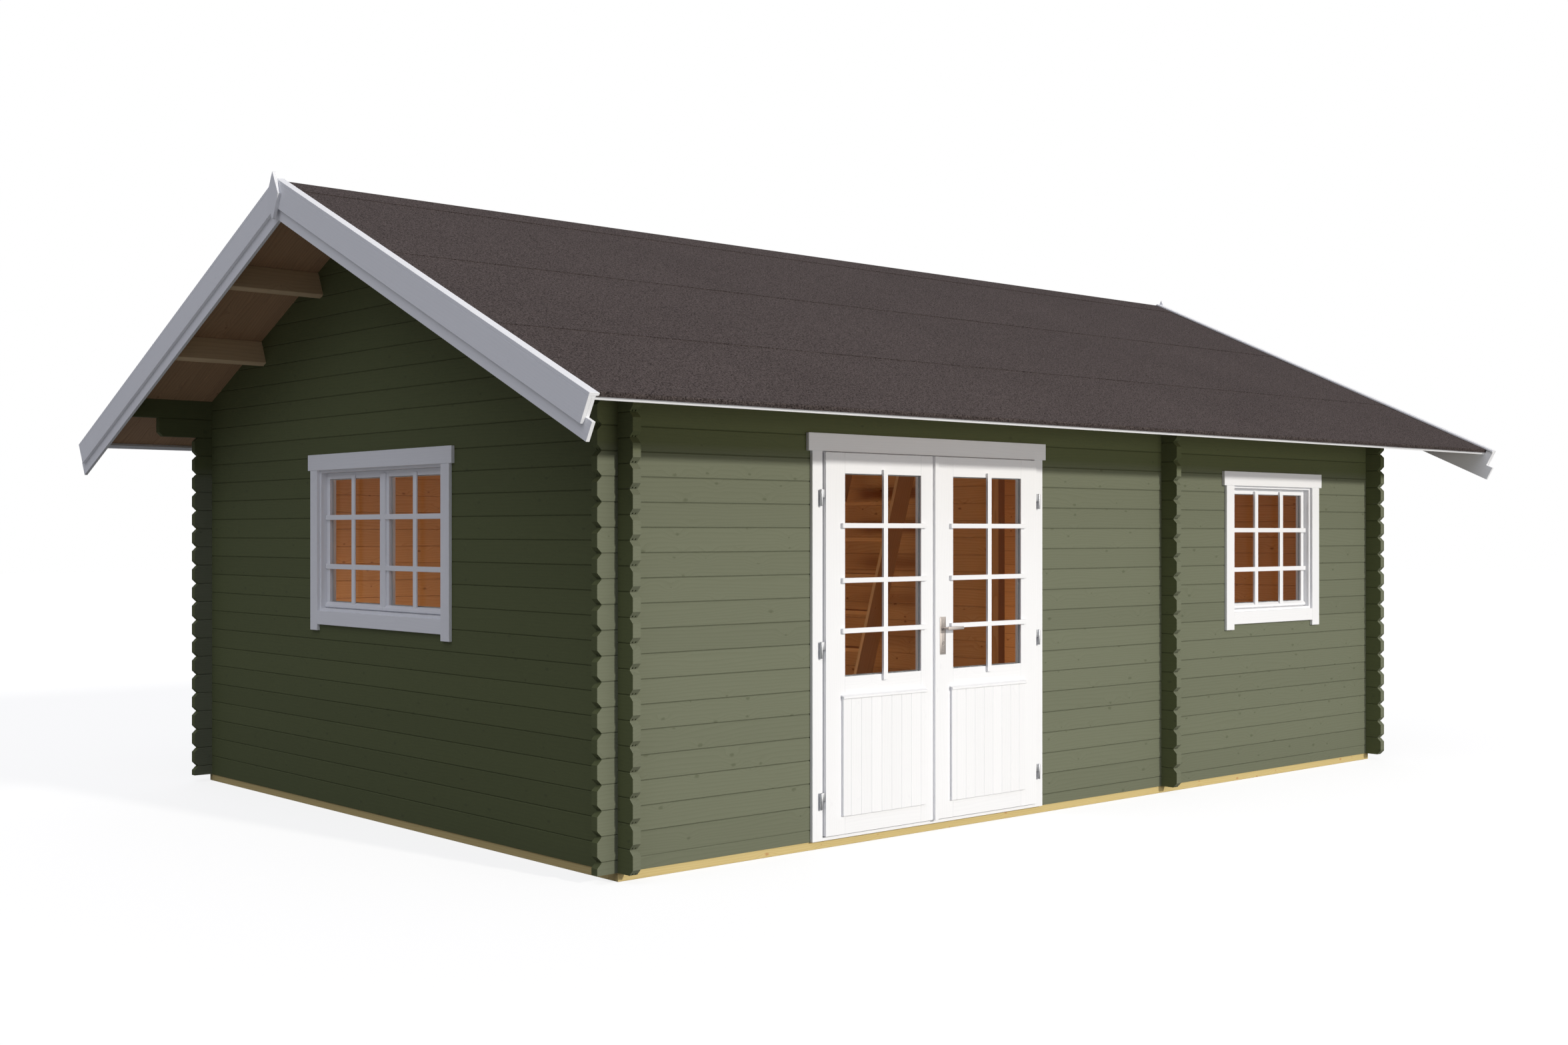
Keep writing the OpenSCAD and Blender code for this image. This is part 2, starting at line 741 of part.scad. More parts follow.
module lock_plates() {
    color(steel) for (y = [leaf_face_y - plate_t, leaf_face_y + leaf_t])
        difference() {
            block(plate_x - plate_w / 2, plate_x + plate_w / 2, y, y + plate_t,
                  beam_h + plate_z, beam_h + plate_z + plate_h);
            translate([plate_x, y - over, spindle_z]) rotate([-90, 0, 0])
                cylinder(r = spindle_r + pin_gap, h = plate_t + 2 * over);
        }
}
module lever_bar(y) {
    along_y(y, y + lever_t) translate([plate_x, spindle_z]) union() {
        translate([-lever_h / 2, -lever_h / 2]) square([lever_l, lever_h]);
        translate([lever_l - lever_h / 2, 0]) circle(d = lever_h);
    }
}
module lever_handle() {
    y0 = leaf_face_y - lever_out;
    y1 = leaf_face_y + leaf_t + lever_out;
    color(steel) union() {
        translate([plate_x, y0 + lever_t / 2, spindle_z]) rotate([-90, 0, 0])
            cylinder(r = spindle_r, h = y1 - y0 - lever_t);
        lever_bar(y0);
        lever_bar(y1 - lever_t);
    }
}

// Windows: drawn with the wall face on the XZ plane and the outside towards -Y
module window_casing(half, z0, z1) {
    tip = half + win_casing_w;
    head = z1 - win_head;
    union() {
        for (s = [-1, 1])
            block(min(s * half, s * tip), max(s * half, s * tip), -casing_t, 0, z0 - casing_drop, head);
        block(-tip, tip, -casing_t, 0, z0 - apron_down, z0 + apron_up);
        block(-tip - header_out, tip + header_out, -header_t, 0, head, head + header_h);
    }
}
module ring(x0, x1, y0, y1, z0, z1, w_left, w_right, w_low, w_top) {
    difference() {
        block(x0, x1, y0, y1, z0, z1);
        block(x0 + w_left, x1 - w_right, y0 - over, y1 + over, z0 + w_low, z1 - w_top);
    }
}
module window_frame(half, z0, z1) {
    rough = half + jamb_w;
    side = jamb_w + win_reveal;
    ring(-rough, rough, 0, win_frame_d, z0, z1, side, side, apron_up + win_reveal, win_head + win_reveal);
}
function sash_z0(z0) = z0 + apron_up + win_reveal + sash_gap;
function sash_z1(z1) = z1 - win_head - win_reveal - sash_gap;
module window_sash(x0, x1, z0, z1, w0, w1) {
    ring(x0, x1, sash_set, sash_set + sash_d, sash_z0(z0), sash_z1(z1), w0, w1, sash_w, sash_w);
}
module window_pane(x0, x1, z0, z1, w0, w1) {
    y = sash_set + sash_glass_set;
    block(x0 + w0, x1 - w1, y, y + glass_t, sash_z0(z0) + sash_w, sash_z1(z1) - sash_w);
}
module at_gable() {
    translate([-half_l, 0, 0]) rotate([0, 0, -90]) children();
}
module at_front() {
    translate([front_win_x, -half_w, 0]) children();
}
gsash = gable_win_half - win_reveal - sash_gap;
fsash = front_win_half - win_reveal - sash_gap;
module gable_window_casing() {
    color(white) at_gable() window_casing(gable_win_half, gwin_z0, gwin_z1);
}
module gable_window_frame() {
    color(white) at_gable() window_frame(gable_win_half, gwin_z0, gwin_z1);
}
module gable_window_sashes() {
    color(white) at_gable() {
        window_sash(-gsash, -sash_gap / 2, gwin_z0, gwin_z1, sash_w, sash_meet_w);
        window_sash(sash_gap / 2, gsash, gwin_z0, gwin_z1, sash_meet_w, sash_w);
    }
}
module gable_window_glass() {
    color(clear) at_gable() {
        window_pane(-gsash, -sash_gap / 2, gwin_z0, gwin_z1, sash_w, sash_meet_w);
        window_pane(sash_gap / 2, gsash, gwin_z0, gwin_z1, sash_meet_w, sash_w);
    }
}
module front_window_casing() {
    color(white) at_front() window_casing(front_win_half, win_z0, win_z1);
}
module front_window_frame() {
    color(white) at_front() window_frame(front_win_half, win_z0, win_z1);
}
module front_window_sash() {
    color(white) at_front() window_sash(-fsash, fsash, win_z0, win_z1, sash_w, sash_w);
}
module front_window_glass() {
    color(clear) at_front() window_pane(-fsash, fsash, win_z0, win_z1, sash_w, sash_w);
}

// Roof
module roof_slope() {
    along_x(-roof_half, roof_half)
        polygon([ridge_pt(0), roof_pt(board_end, 0), roof_pt(board_end, board_t), ridge_pt(board_t)]);
}
module roof_boards_front() {
    color(dark) mirror([0, 1, 0]) roof_slope();
}
module roof_boards_back() {
    color(dark) roof_slope();
}
fold_step = [felt_fold * cos_r, -felt_fold * sin_r];
felt_half = [
    ridge_pt(felt_top), roof_pt(board_end, felt_top) + fold_step, roof_pt(board_end, 0) + fold_step,
    roof_pt(board_end, 0), roof_pt(board_end, board_t), ridge_pt(board_t)
];
// A drawing of one slope that starts and ends over the ridge, with its mirror image
function both_sides(v) = concat(v, [for (i = [len(v) - 2 : -1 : 1]) [-v[i][0], v[i][1]]]);
module roof_felt() {
    color(grey) along_x(-roof_half, roof_half) polygon(both_sides(felt_half));
}
module purlins() {
    color(timber) both_slopes() {
        along_x(-roof_half, roof_half) purlin_drawing(purlin_upper, -roof_play, 0);
        along_x(-roof_half, roof_half) purlin_drawing(purlin_lower, -roof_play, 0);
    }
}
module eave_strips() {
    e0 = board_end - eave_strip_w * cos_r;
    color(white) both_slopes() along_x(-roof_half, roof_half)
        polygon([roof_pt(e0, 0), roof_pt(board_end, 0),
                 roof_pt(board_end, -eave_strip_t), roof_pt(e0, -eave_strip_t)]);
}
// One half of a bargeboard between two heights above the soffit, with play at the ridge mitre
mitre = mitre_gap / 2;
function barge_half(d0, d1) = [
    slope_pt(mitre, d0), slope_pt(barge_end, d0), slope_pt(barge_e(d0, d1), d1), slope_pt(mitre, d1)
];
module barge_drawing(d0, d1) {
    polygon(barge_half(d0, d1));
    mirror([1, 0]) polygon(barge_half(d0, d1));
}
back_foot = barge_rise - 2 * barge_back_w;
back_mid = barge_rise - barge_back_w;
module barge_boards() {
    color(white) both_ends() along_x(roof_half + barge_t, roof_half + 2 * barge_t)
        union() { barge_drawing(barge_rise, barge_rise - barge_w); }
}
module barge_backs() {
    color(white) both_ends() along_x(roof_half, roof_half + barge_t) union() {
        barge_drawing(barge_rise, back_mid);
        barge_drawing(back_mid, back_foot);
    }
}
cap_top = barge_rise + cap_t;
function cap_half(d) = [
    slope_pt(mitre, d), slope_pt(barge_e(barge_rise, d), d), slope_pt(barge_e(barge_rise, cap_top), cap_top),
    slope_pt(mitre, cap_top)
];
cap_x0 = roof_half + 2 * barge_t - cap_w;
module cap_drawing(d) {
    polygon(cap_half(d));
    mirror([1, 0]) polygon(cap_half(d));
}
module barge_caps() {
    color(white) both_ends() union() {
        along_x(roof_half, roof_half + 2 * barge_t) union() { cap_drawing(barge_rise); }
        along_x(cap_x0, roof_half + 2 * barge_t) union() { cap_drawing(felt_top); }
    }
}
module finials() {
    x = roof_half + 2 * barge_t;
    color(white) both_ends() along_x(x, x + barge_t) polygon([
        [0, ridge_z + finial_up], [finial_half, ridge_z - finial_mid], [finial_foot, ridge_z - finial_down],
        [-finial_foot, ridge_z - finial_down], [-finial_half, ridge_z - finial_mid]
    ]);
}

foundation_beams();
floor_boards();
front_wall_left();
front_wall_middle();
front_wall_right();
front_wall_under_window();
front_wall_over_window();
front_wall_over_door();
back_wall();
eave_logs();
left_gable_lower();
left_gable_sides();
left_gable_upper();
right_gable();
partition_front();
partition_back();
partition_top();
partition_door_frame();
stair_stringers();
stair_treads();
door_frame();
door_casing();
hinge_pins();
left_leaf();
left_leaf_glass();
left_leaf_hinges();
right_leaf();
right_leaf_glass();
right_leaf_hinges();
lock_plates();
lever_handle();
gable_window_casing();
gable_window_frame();
gable_window_sashes();
gable_window_glass();
front_window_casing();
front_window_frame();
front_window_sash();
front_window_glass();
roof_boards_front();
roof_boards_back();
roof_felt();
purlins();
eave_strips();
barge_boards();
barge_backs();
barge_caps();
finials();
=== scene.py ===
"""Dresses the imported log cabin: stained logs, painted joinery, felt roof, fittings and stage."""

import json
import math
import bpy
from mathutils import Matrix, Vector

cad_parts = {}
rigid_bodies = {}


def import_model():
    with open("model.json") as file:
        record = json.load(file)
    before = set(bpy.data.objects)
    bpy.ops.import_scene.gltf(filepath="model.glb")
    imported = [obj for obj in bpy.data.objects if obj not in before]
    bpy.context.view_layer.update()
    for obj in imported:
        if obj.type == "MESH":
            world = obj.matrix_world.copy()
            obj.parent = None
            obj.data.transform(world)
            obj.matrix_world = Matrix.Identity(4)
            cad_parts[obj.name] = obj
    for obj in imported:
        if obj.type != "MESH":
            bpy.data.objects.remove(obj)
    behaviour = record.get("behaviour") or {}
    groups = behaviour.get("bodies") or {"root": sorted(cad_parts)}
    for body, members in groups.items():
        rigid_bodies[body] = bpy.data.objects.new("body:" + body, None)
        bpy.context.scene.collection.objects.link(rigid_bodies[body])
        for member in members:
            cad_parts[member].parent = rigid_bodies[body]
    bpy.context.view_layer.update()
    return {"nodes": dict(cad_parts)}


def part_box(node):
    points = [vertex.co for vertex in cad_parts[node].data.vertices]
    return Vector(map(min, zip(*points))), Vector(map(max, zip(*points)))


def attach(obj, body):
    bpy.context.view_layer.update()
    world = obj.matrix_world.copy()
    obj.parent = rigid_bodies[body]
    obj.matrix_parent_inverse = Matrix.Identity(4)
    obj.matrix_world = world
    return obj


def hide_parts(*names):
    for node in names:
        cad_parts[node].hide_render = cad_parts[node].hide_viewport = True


bl_info = {
    "name": "Log cabin",
    "version": (1, 0, 0),
    "blender": (4, 5, 0),
    "location": "3D View > Sidebar > Log cabin",
    "description": "Dresses a log cabin: stained logs, painted joinery, felt roof, fittings and stage",
    "category": "Object",
}

from functools import partial

import bmesh
import bpy
from bpy.props import FloatProperty, FloatVectorProperty, IntProperty, PointerProperty
from mathutils import Matrix, Vector, noise

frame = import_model()
NODES = frame["nodes"]

MM = 0.001
WELD = 0.02 * MM
X_AXIS = Vector((1, 0, 0))
Y_AXIS = Vector((0, 1, 0))
Z_AXIS = Vector((0, 0, 1))
GOLDEN = 0.61803399
WHITE = (1, 1, 1, 1)

# The ends of each log wall that stand out past a corner, and the face of the cabin that a long wall is on
BOTH = (1, -1)
LONG_WALLS = {
    "front_wall_left": ((-1,), -1),
    "front_wall_right": ((1,), -1),
    "front_wall_over_window": ((1,), -1),
    "front_wall_over_door": (BOTH, -1),
    "back_wall": (BOTH, 1),
}
LONG_PLAIN = ("front_wall_middle", "front_wall_under_window", "eave_logs")
CROSS_WALLS = {
    "left_gable_lower": BOTH,
    "left_gable_sides": BOTH,
    "left_gable_upper": BOTH,
    "right_gable": BOTH,
    "partition_front": (-1,),
    "partition_back": (1,),
    "partition_top": BOTH,
}
# Logs under the front window, and more courses than the highest gable has
LOGS_UNDER_WINDOW = 8.5
COURSES = 21

# One knot at most in this height, about that of a log
KNOT_ROW = 0.095
# Ring width, knot spacing and strength of the figure of boards that are only sawn
SAWN = (0.02, 0.5, 0.5)

MATH = "ShaderNodeMath"
VECTOR = "ShaderNodeVectorMath"
MIX = "ShaderNodeMix"
RANGE = "ShaderNodeMapRange"
NOISE = "ShaderNodeTexNoise"
PLACE = "ShaderNodeTexCoord"
SPLIT = "ShaderNodeSeparateXYZ"
JOIN = "ShaderNodeCombineXYZ"
STORE = "GeometryNodeStoreNamedAttribute"
NAMED = "GeometryNodeInputNamedAttribute"


def linear(code):
    """Linear colour of an sRGB hex value."""
    shares = [int(code[i:i + 2], 16) / 255 for i in (1, 3, 5)]
    return [s / 12.92 if s <= 0.04045 else ((s + 0.055) / 1.055) ** 2.4 for s in shares] + [1.0]


def colour(name, description, code):
    """A colour property that starts at an sRGB hex value."""
    return FloatVectorProperty(
        name=name, description=description, subtype="COLOR", size=4, min=0, max=1, default=linear(code)
    )


def number(name, description, value, **kind):
    """A number property that starts at a value."""
    return FloatProperty(name=name, description=description, default=value, **kind)


def length(name, description, value):
    """A length property in metres that starts at a value in millimetres."""
    return number(name, description, value * MM, unit="LENGTH", min=0)


def angle(name, description, value):
    """An angle property that starts at a value in degrees."""
    return number(name, description, math.radians(value), unit="ROTATION")


def vector(name, description, value, **kind):
    """A place or direction property."""
    return FloatVectorProperty(name=name, description=description, subtype="XYZ", default=value, **kind)


class CabinFinish(bpy.types.PropertyGroup):
    """Colours of the cabin's finishes"""

    stain: colour("Log stain", "Green stain on the outside of the logs", "#606645")
    # Painted light: the stain drawn paler and greyer where the key light falls, standing for sheen of
    # sunlight
    stain_sunlit_sheen: colour("Stain with painted sunlit sheen", "The stain on the sunlit front, drawn paler and greyer as painted sheen of sunlight", "#727663")
    stain_dark: colour("Stain in the grain", "The stain where it sinks into late wood and knots", "#4b503a")
    spruce: colour("Inside spruce", "Raw spruce of the walls and boards inside", "#dcb587")
    spruce_dark: colour("Late wood", "Late wood of the raw spruce", "#bb8a5a")
    soffit: colour("Roof boards", "Underside of the roof boards", "#bd9876")
    soffit_dark: colour("Roof board grain", "Late wood of the roof boards", "#7f5f46")
    purlin: colour("Purlins", "Planed purlins and sides of the stair", "#e0c6a2")
    purlin_dark: colour("Purlin grain", "Late wood of the purlins", "#b8986f")
    knot: colour("Knots", "Heart of a knot in bare wood", "#6f4022")
    paint: colour("White paint", "Paint on the joinery and roof trim", "#f2f3f6")
    paint_dark: colour("Paint in the grain", "Paint where the grain shows through", "#dedfe5")
    beam: colour("Foundation timber", "Pressure-treated pine of the foundation", "#d2bf88")
    beam_dark: colour("Foundation grain", "Late wood of the treated pine", "#b99a5b")
    felt: colour("Roofing felt", "Mineral granules on the felt", "#685e5c")
    felt_dark: colour("Felt between granules", "Bitumen between the granules", "#241e1d")
    steel: colour("Brushed steel", "Handle plates and lever", "#d3cbc6")
    zinc: colour("Zinc plating", "Hinges and pins", "#d0d2d6")
    # Painted shade: colour of the pieces that stand for the dark keyway and the gap round the lock cylinder
    rubber: colour("Black rubber", "Ring and slot of the keyhole", "#232426")
    glass: colour("Glass", "Faint green of clear float glass", "#f4f8f5")


class CabinJoinery(bpy.types.PropertyGroup):
    """Sizes of the joinery that the solids leave to the scene"""

    ease: length("Eased edge", "Rounding of planed edges", 1.6)
    door_x: number("Door middle", "X of the middle of the door", -1.164, unit="LENGTH")
    panel_pitch: length("Panel board", "Width of one board of a door panel", 71.4)
    panel_edge: length("Panel V joint", "Depth of the V joint between panel boards", 1.7)
    leaf_bar: length("Door bar", "Width of the upright bar of a door light", 30)
    leaf_rail: length("Door cross bar", "Height of the cross bars of a door light", 25)
    leaf_bar_out: length("Door bar thickness", "Bars in front of the leaf", 15)
    window_bar: length("Window bar", "Width of the upright bars of a window", 36)
    window_rail: length("Window cross bar", "Height of the cross bars of a window", 28)
    bar_lap: length("Bar offset", "Cross bars in front of the uprights", 0.6)
    bead: length("Glazing bead", "Width of the beads that hold the glass", 4)
    bead_play: length("Glazing play", "Room between a pane and its beads", 0.3)
    floor_board: length("Floor board", "Width of one floor board", 110)
    groove_r: length("Log groove", "Radius of the two grooves under a log", 3.6)
    groove_z: length("Groove height", "Middle of the grooves over the joint", 5.5)
    groove_gap: length("Groove spacing", "Distance between the two grooves of a log", 17)
    groove_run: length("Groove depth shown", "How far a groove is cut into a log end", 70)


class CabinRoof(bpy.types.PropertyGroup):
    """Sizes of the roof covering"""

    pitch: angle("Roof pitch", "Slope of the roof", 24.6)
    board: length("Roof board", "Width of one roof board", 98.6)
    board_t: length("Roof board thickness", "Thickness of the roof boards", 19)
    board_edge: length("Roof board joint", "Depth of the V joint between roof boards", 1.6)
    felt_t: length("Felt thickness", "Felt at the lower edge of a strip", 4)
    step: length("Felt lap", "Height of the step where a strip laps the next", 2.6)
    fold: length("Felt fold", "Felt folded over the eave", 8)
    ridge_strip: length("Ridge strip", "Ridge strip down each slope", 158)
    first_lap: length("First lap", "First lap below the ridge, down the slope", 1163)
    second_lap: length("Second lap", "Second lap below the ridge, down the slope", 2159)
    waver: length("Waver", "How far the felt edges stray", 1.2)
    cuts: IntProperty(name="Felt cuts", description="Lengths that a strip is divided into", min=8, default=60)


class CabinStage(bpy.types.PropertyGroup):
    """Camera and light"""

    camera: vector("Camera", "Place of the camera", (-7.8288, -8.4701, 1.5609), unit="LENGTH")
    aim: vector("Aim", "Direction of the camera", (0.6657, 0.7462, 0.0))
    lens: number("Lens", "Focal length on a 36 mm sensor", 40.18, subtype="DISTANCE_CAMERA")
    shift: number("Shift", "Upward shift of the picture", 0.0061)
    key: number("Key light", "Strength of the key light", 2.05)
    key_from: vector("Key light from", "Direction towards the key light", (0.163, -1.0, 0.374))
    key_size: angle("Key light size", "Angle that the key light fills", 3.2)
    key_colour: colour("Key light colour", "Colour of the key light", "#fffbf2")
    sky: number("Sky light", "Strength of the wide light from above and left", 0.85)
    sky_from: vector("Sky light from", "Direction towards the sky light", (-0.55, -0.3, 0.78))
    back: number("Back light", "Strength of the wide light from behind", 0.55)
    back_from: vector("Back light from", "Direction towards the back light", (0.45, 0.75, 0.48))
    sky_size: angle("Sky light size", "Angle that the sky and back lights fill", 60)
    soft: number("Soft light", "Power of the soft panel in front", 172, unit="POWER")
    fill: number("Fill light", "Strength of the light from all round", 0.242)
    fill_colour: colour("Fill light colour", "Colour of the light from all round", "#f2f4ff")
    room: number("Room light", "Power of the lamp in the main room", 26, unit="POWER")
    small_room: number("Small room light", "Power of the lamp in the small room", 22, unit="POWER")
    room_colour: colour("Room light colour", "Colour of the lamps inside", "#ffdcb8")
    reveal: number("Reveal light", "Power of the lamps on the paint behind the windows", 10, unit="POWER")
    floor: colour("Floor", "Plain pale floor", "#969696")
    floor_glow: number("Floor white", "What the floor lacks of white in full light, for the camera", 0.8)


def add(tree, kind, inputs=(), operation=None, **settings):
    """Adds a node with its settings and returns its outputs.

    An input, by name or in order, is linked if it is a socket or a list of sockets, and set if it is a value.
    """
    node = tree.nodes.new(kind)
    if operation:
        node.operation = operation
    for name, value in settings.items():
        setattr(node, name, value)
    for key, value in inputs.items() if isinstance(inputs, dict) else enumerate(inputs):
        for item in value if isinstance(value, list) else [value]:
            if isinstance(item, bpy.types.NodeSocket):
                tree.links.new(item, node.inputs[key])
            else:
                node.inputs[key].default_value = item
    return node.outputs


def once(maker):
    """Makes a thing the first time that it is asked for, and then hands it out again."""
    made = {}

    def give(*key):
        if key not in made:
            made[key] = maker(*key)
        return made[key]

    return give


def new_material(name):
    """An empty material, and the function that adds nodes to it."""
    material = bpy.data.materials.new(name)
    material.use_nodes = True
    material.node_tree.nodes.clear()
    return material, partial(add, material.node_tree)


def coat(node, inputs, height=None, depth=0.0):
    """Adds the shader and the output, with a shallow relief from a height between 0 and 1."""
    if height is not None:
        inputs["Normal"] = node("ShaderNodeBump", {"Height": height, "Strength": 0.6, "Distance": depth})[0]
    shader = node("ShaderNodeBsdfPrincipled", inputs)[0]
    node("ShaderNodeOutputMaterial", {"Surface": shader})


def spruce_figure(node, place, ring, knot_every, knot_size=8 * MM):
    """Figure of sawn spruce on a place given as along, across and depth: growth rings, fibres and knots."""
    scaled = node(VECTOR, (place, (0.9, 7.0, 7.0)), "MULTIPLY")[0]
    wander = node(NOISE, {"Vector": scaled, "Scale": 1.0, "Detail": 2.0})["Fac"]
    # A knot is drawn round, with a ragged edge, in some cells of a grid, and bends the rings round it
    cells = node(VECTOR, (place, (1 / knot_every, 1 / KNOT_ROW, 0.0)), "MULTIPLY")[0]
    grid = node("ShaderNodeTexVoronoi", {"Vector": cells, "Scale": 1.0}, voronoi_dimensions="2D")
    off = node(VECTOR, (cells, grid["Position"]), "SUBTRACT")[0]
    real = node(VECTOR, (off, (knot_every * 0.55, KNOT_ROW, 0.0)), "MULTIPLY")[0]
    straight = node(VECTOR, (real,), "LENGTH")["Value"]
    ragged = node(NOISE, {"Vector": place, "Scale": 90.0, "Detail": 1.0})["Fac"]
    away = node(MATH, (ragged, knot_size, straight), "MULTIPLY_ADD")[0]
    chance = node("ShaderNodeSeparateColor", (grid["Color"],))
    there = node(MATH, (chance["Green"], 0.45), "GREATER_THAN")[0]
    grown = node(MATH, (chance["Red"], knot_size, knot_size * 0.9), "MULTIPLY_ADD")[0]
    radius = node(MATH, (grown, there), "MULTIPLY")[0]
    inner = node(MATH, (radius, 0.45), "MULTIPLY")[0]
    soft = {"interpolation_type": "SMOOTHSTEP"}
    knot = node(RANGE, {"Value": away, "From Min": radius, "From Max": inner}, **soft)[0]
    halo = node(RANGE, {"Value": away, "From Min": 0.055, "From Max": 0.0, "To Max": 1.5}, **soft)[0]
    bend = node(MATH, (halo, there), "MULTIPLY")[0]
    across = node(SPLIT, (place,))[1]
    rings = node(MATH, (across, 1 / ring, bend), "MULTIPLY_ADD")[0]
    phase = node(MATH, (wander, 6.0, rings), "MULTIPLY_ADD")[0]
    saw = node(MATH, (phase,), "FRACT")[0]
    late = node(MATH, (saw, 2.2), "POWER")[0]
    # Spruce fibres are finer than a picture shows, so they are drawn about 5 mm wide
    streak = node(VECTOR, (place, (5.0, 190.0, 190.0)), "MULTIPLY")[0]
    fibre = node(NOISE, {"Vector": streak, "Scale": 1.0, "Detail": 2.0})["Fac"]
    return node(MIX, {0: 0.45, 2: late, 3: fibre})[0], knot


def blend(node, share, first, second):
    """A colour between two others."""
    return node(MIX, {0: share, 6: first, 7: second}, data_type="RGBA")[2]


def figured(node, grain, knot, tones, heart, shown, knots):
    """Bare wood: two tones mixed by a share of the grain, and a share of the knots."""
    faint = node(MATH, (grain, shown), "MULTIPLY")[0]
    some = node(MATH, (knot, knots), "MULTIPLY")[0]
    return blend(node, some, blend(node, faint, *tones), heart)


def board_place(node):
    """Along, across and depth of a board from the piece's own attribute, and the board's tone."""
    place = node("ShaderNodeAttribute", attribute_name="grain")["Vector"]
    tone = node("ShaderNodeAttribute", attribute_name="tone")["Fac"]
    return place, tone


def toned(node, mixed, tone, spread):
    """A colour made lighter or darker from board to board."""
    value = node(RANGE, {"Value": tone, "To Min": 1 - spread, "To Max": 1 + spread})[0]
    return node(VECTOR, {0: mixed, 3: value}, "SCALE")[0]


@once
def bare_spruce(light, ring=13 * MM, every=0.42, shown=0.7):
    """Planed spruce without a finish: silky, with brown late wood and small dark knots."""
    finish = bpy.context.scene.cabin_finish
    material, node = new_material("planed_spruce_" + light)
    place, tone = board_place(node)
    grain, knot = spruce_figure(node, place, ring, every)
    tones = getattr(finish, light), getattr(finish, light + "_dark")
    wood = figured(node, grain, knot, tones, finish.knot, shown, shown)
    inputs = {"Base Color": toned(node, wood, tone, 0.1), "Roughness": 0.62, "Specular IOR Level": 0.25}
    coat(node, inputs, grain, 0.5 * MM)
    return material


@once
def white_paint():
    """Opaque white paint brushed on planed softwood: half-matt, with the grain faintly showing."""
    finish = bpy.context.scene.cabin_finish
    material, node = new_material("white_painted_softwood")
    place, tone = board_place(node)
    grain, knot = spruce_figure(node, place, 16 * MM, 0.6)
    shown = node(MATH, (grain, 0.22), "MULTIPLY")[0]
    marked = node(MATH, (knot, 0.2, shown), "MULTIPLY_ADD")[0]
    mixed = blend(node, marked, finish.paint, finish.paint_dark)
    inputs = {"Base Color": toned(node, mixed, tone, 0.012), "Roughness": 0.5, "Specular IOR Level": 0.2}
    coat(node, inputs, grain, 0.3 * MM)
    return material


@once
def stained_logs(along):
    """Planed spruce logs, stained green outside and bare inside: matt, with grain and knots showing."""
    finish = bpy.context.scene.cabin_finish
    material, node = new_material("stained_spruce_logs_" + along)
    x, y, z = node(SPLIT, (node(PLACE)["Object"],))
    run, side = (x, y) if along == "x" else (y, x)
    # Each log of each wall has its own piece of the figure, moved along by chance and up by its course
    first = WALL["beam"] + (WALL["log"] / 2 if along == "x" else 0)
    risen = node(MATH, (z, first), "SUBTRACT")[0]
    courses = node(MATH, (risen, WALL["log"]), "DIVIDE")[0]
    course = node(MATH, (courses,), "FLOOR")[0]
    within = node(MATH, (courses,), "FRACT")[0]
    wall = node(MATH, (side, 1.0), "SNAP")[0]
    log = node(JOIN, (course, wall))[0]
    dice = node("ShaderNodeTexWhiteNoise", {"Vector": log}, noise_dimensions="3D")["Value"]
    moved = node(MATH, (dice, 23.0, run), "MULTIPLY_ADD")[0]
    raised = node(MATH, (course, 0.731, z), "MULTIPLY_ADD")[0]
    grain, knot = spruce_figure(node, node(JOIN, (moved, raised, side))[0], 17 * MM, 0.26, 9 * MM)
    # The stain hides the grain but for a trace, turns knots into dark smudges and, on faces towards the key
    # light below the eave's shadow, is drawn paler and greyer as painted sheen of sunlight
    trace = node(MATH, (grain, 0.22), "MULTIPLY")[0]
    smudge = node(MATH, (knot, 0.4, trace), "MULTIPLY_ADD")[0]
    facing = node(VECTOR, (node("ShaderNodeNewGeometry")["Normal"], -Y_AXIS), "DOT_PRODUCT")["Value"]
    eave_shade = {"From Min": WALL["eave"] - 0.18, "From Max": WALL["eave"] - 0.3, "To Max": 1.4}
    sunny = node(RANGE, {"Value": z, **eave_shade})[0]
    painted_sheen = node(MATH, (facing, sunny), "MULTIPLY", use_clamp=True)[0]
    stain = blend(node, smudge, blend(node, painted_sheen, finish.stain, finish.stain_sunlit_sheen), finish.stain_dark)
    bare = figured(node, grain, knot, (finish.spruce, finish.spruce_dark), finish.knot, 0.7, 0.6)
    within_walls = []
    for axis, half in ((x, WALL["half_l"]), (y, WALL["half_w"])):
        size = node(MATH, (axis,), "ABSOLUTE")[0]
        within_walls.append(node(MATH, (size, half - WALL["thick"] / 2), "LESS_THAN")[0])
    inside = node(MATH, within_walls, "MULTIPLY")[0]
    tone = toned(node, blend(node, inside, stain, bare), dice, 0.045)
    # A dark line where two logs meet, about 1 mm to each side of the joint
    near = node(MATH, (node(MATH, (within, 0.5), "SUBTRACT")[0],), "ABSOLUTE")[0]
    gap = node(RANGE, {"Value": near, "From Min": 0.487, "From Max": 0.495, "To Min": 1.0, "To Max": 0.72})[0]
    shaded = node(VECTOR, {0: tone, 3: gap}, "SCALE")[0]
    coat(node, {"Base Color": shaded, "Roughness": 0.7, "Specular IOR Level": 0.12}, grain, 0.5 * MM)
    return material


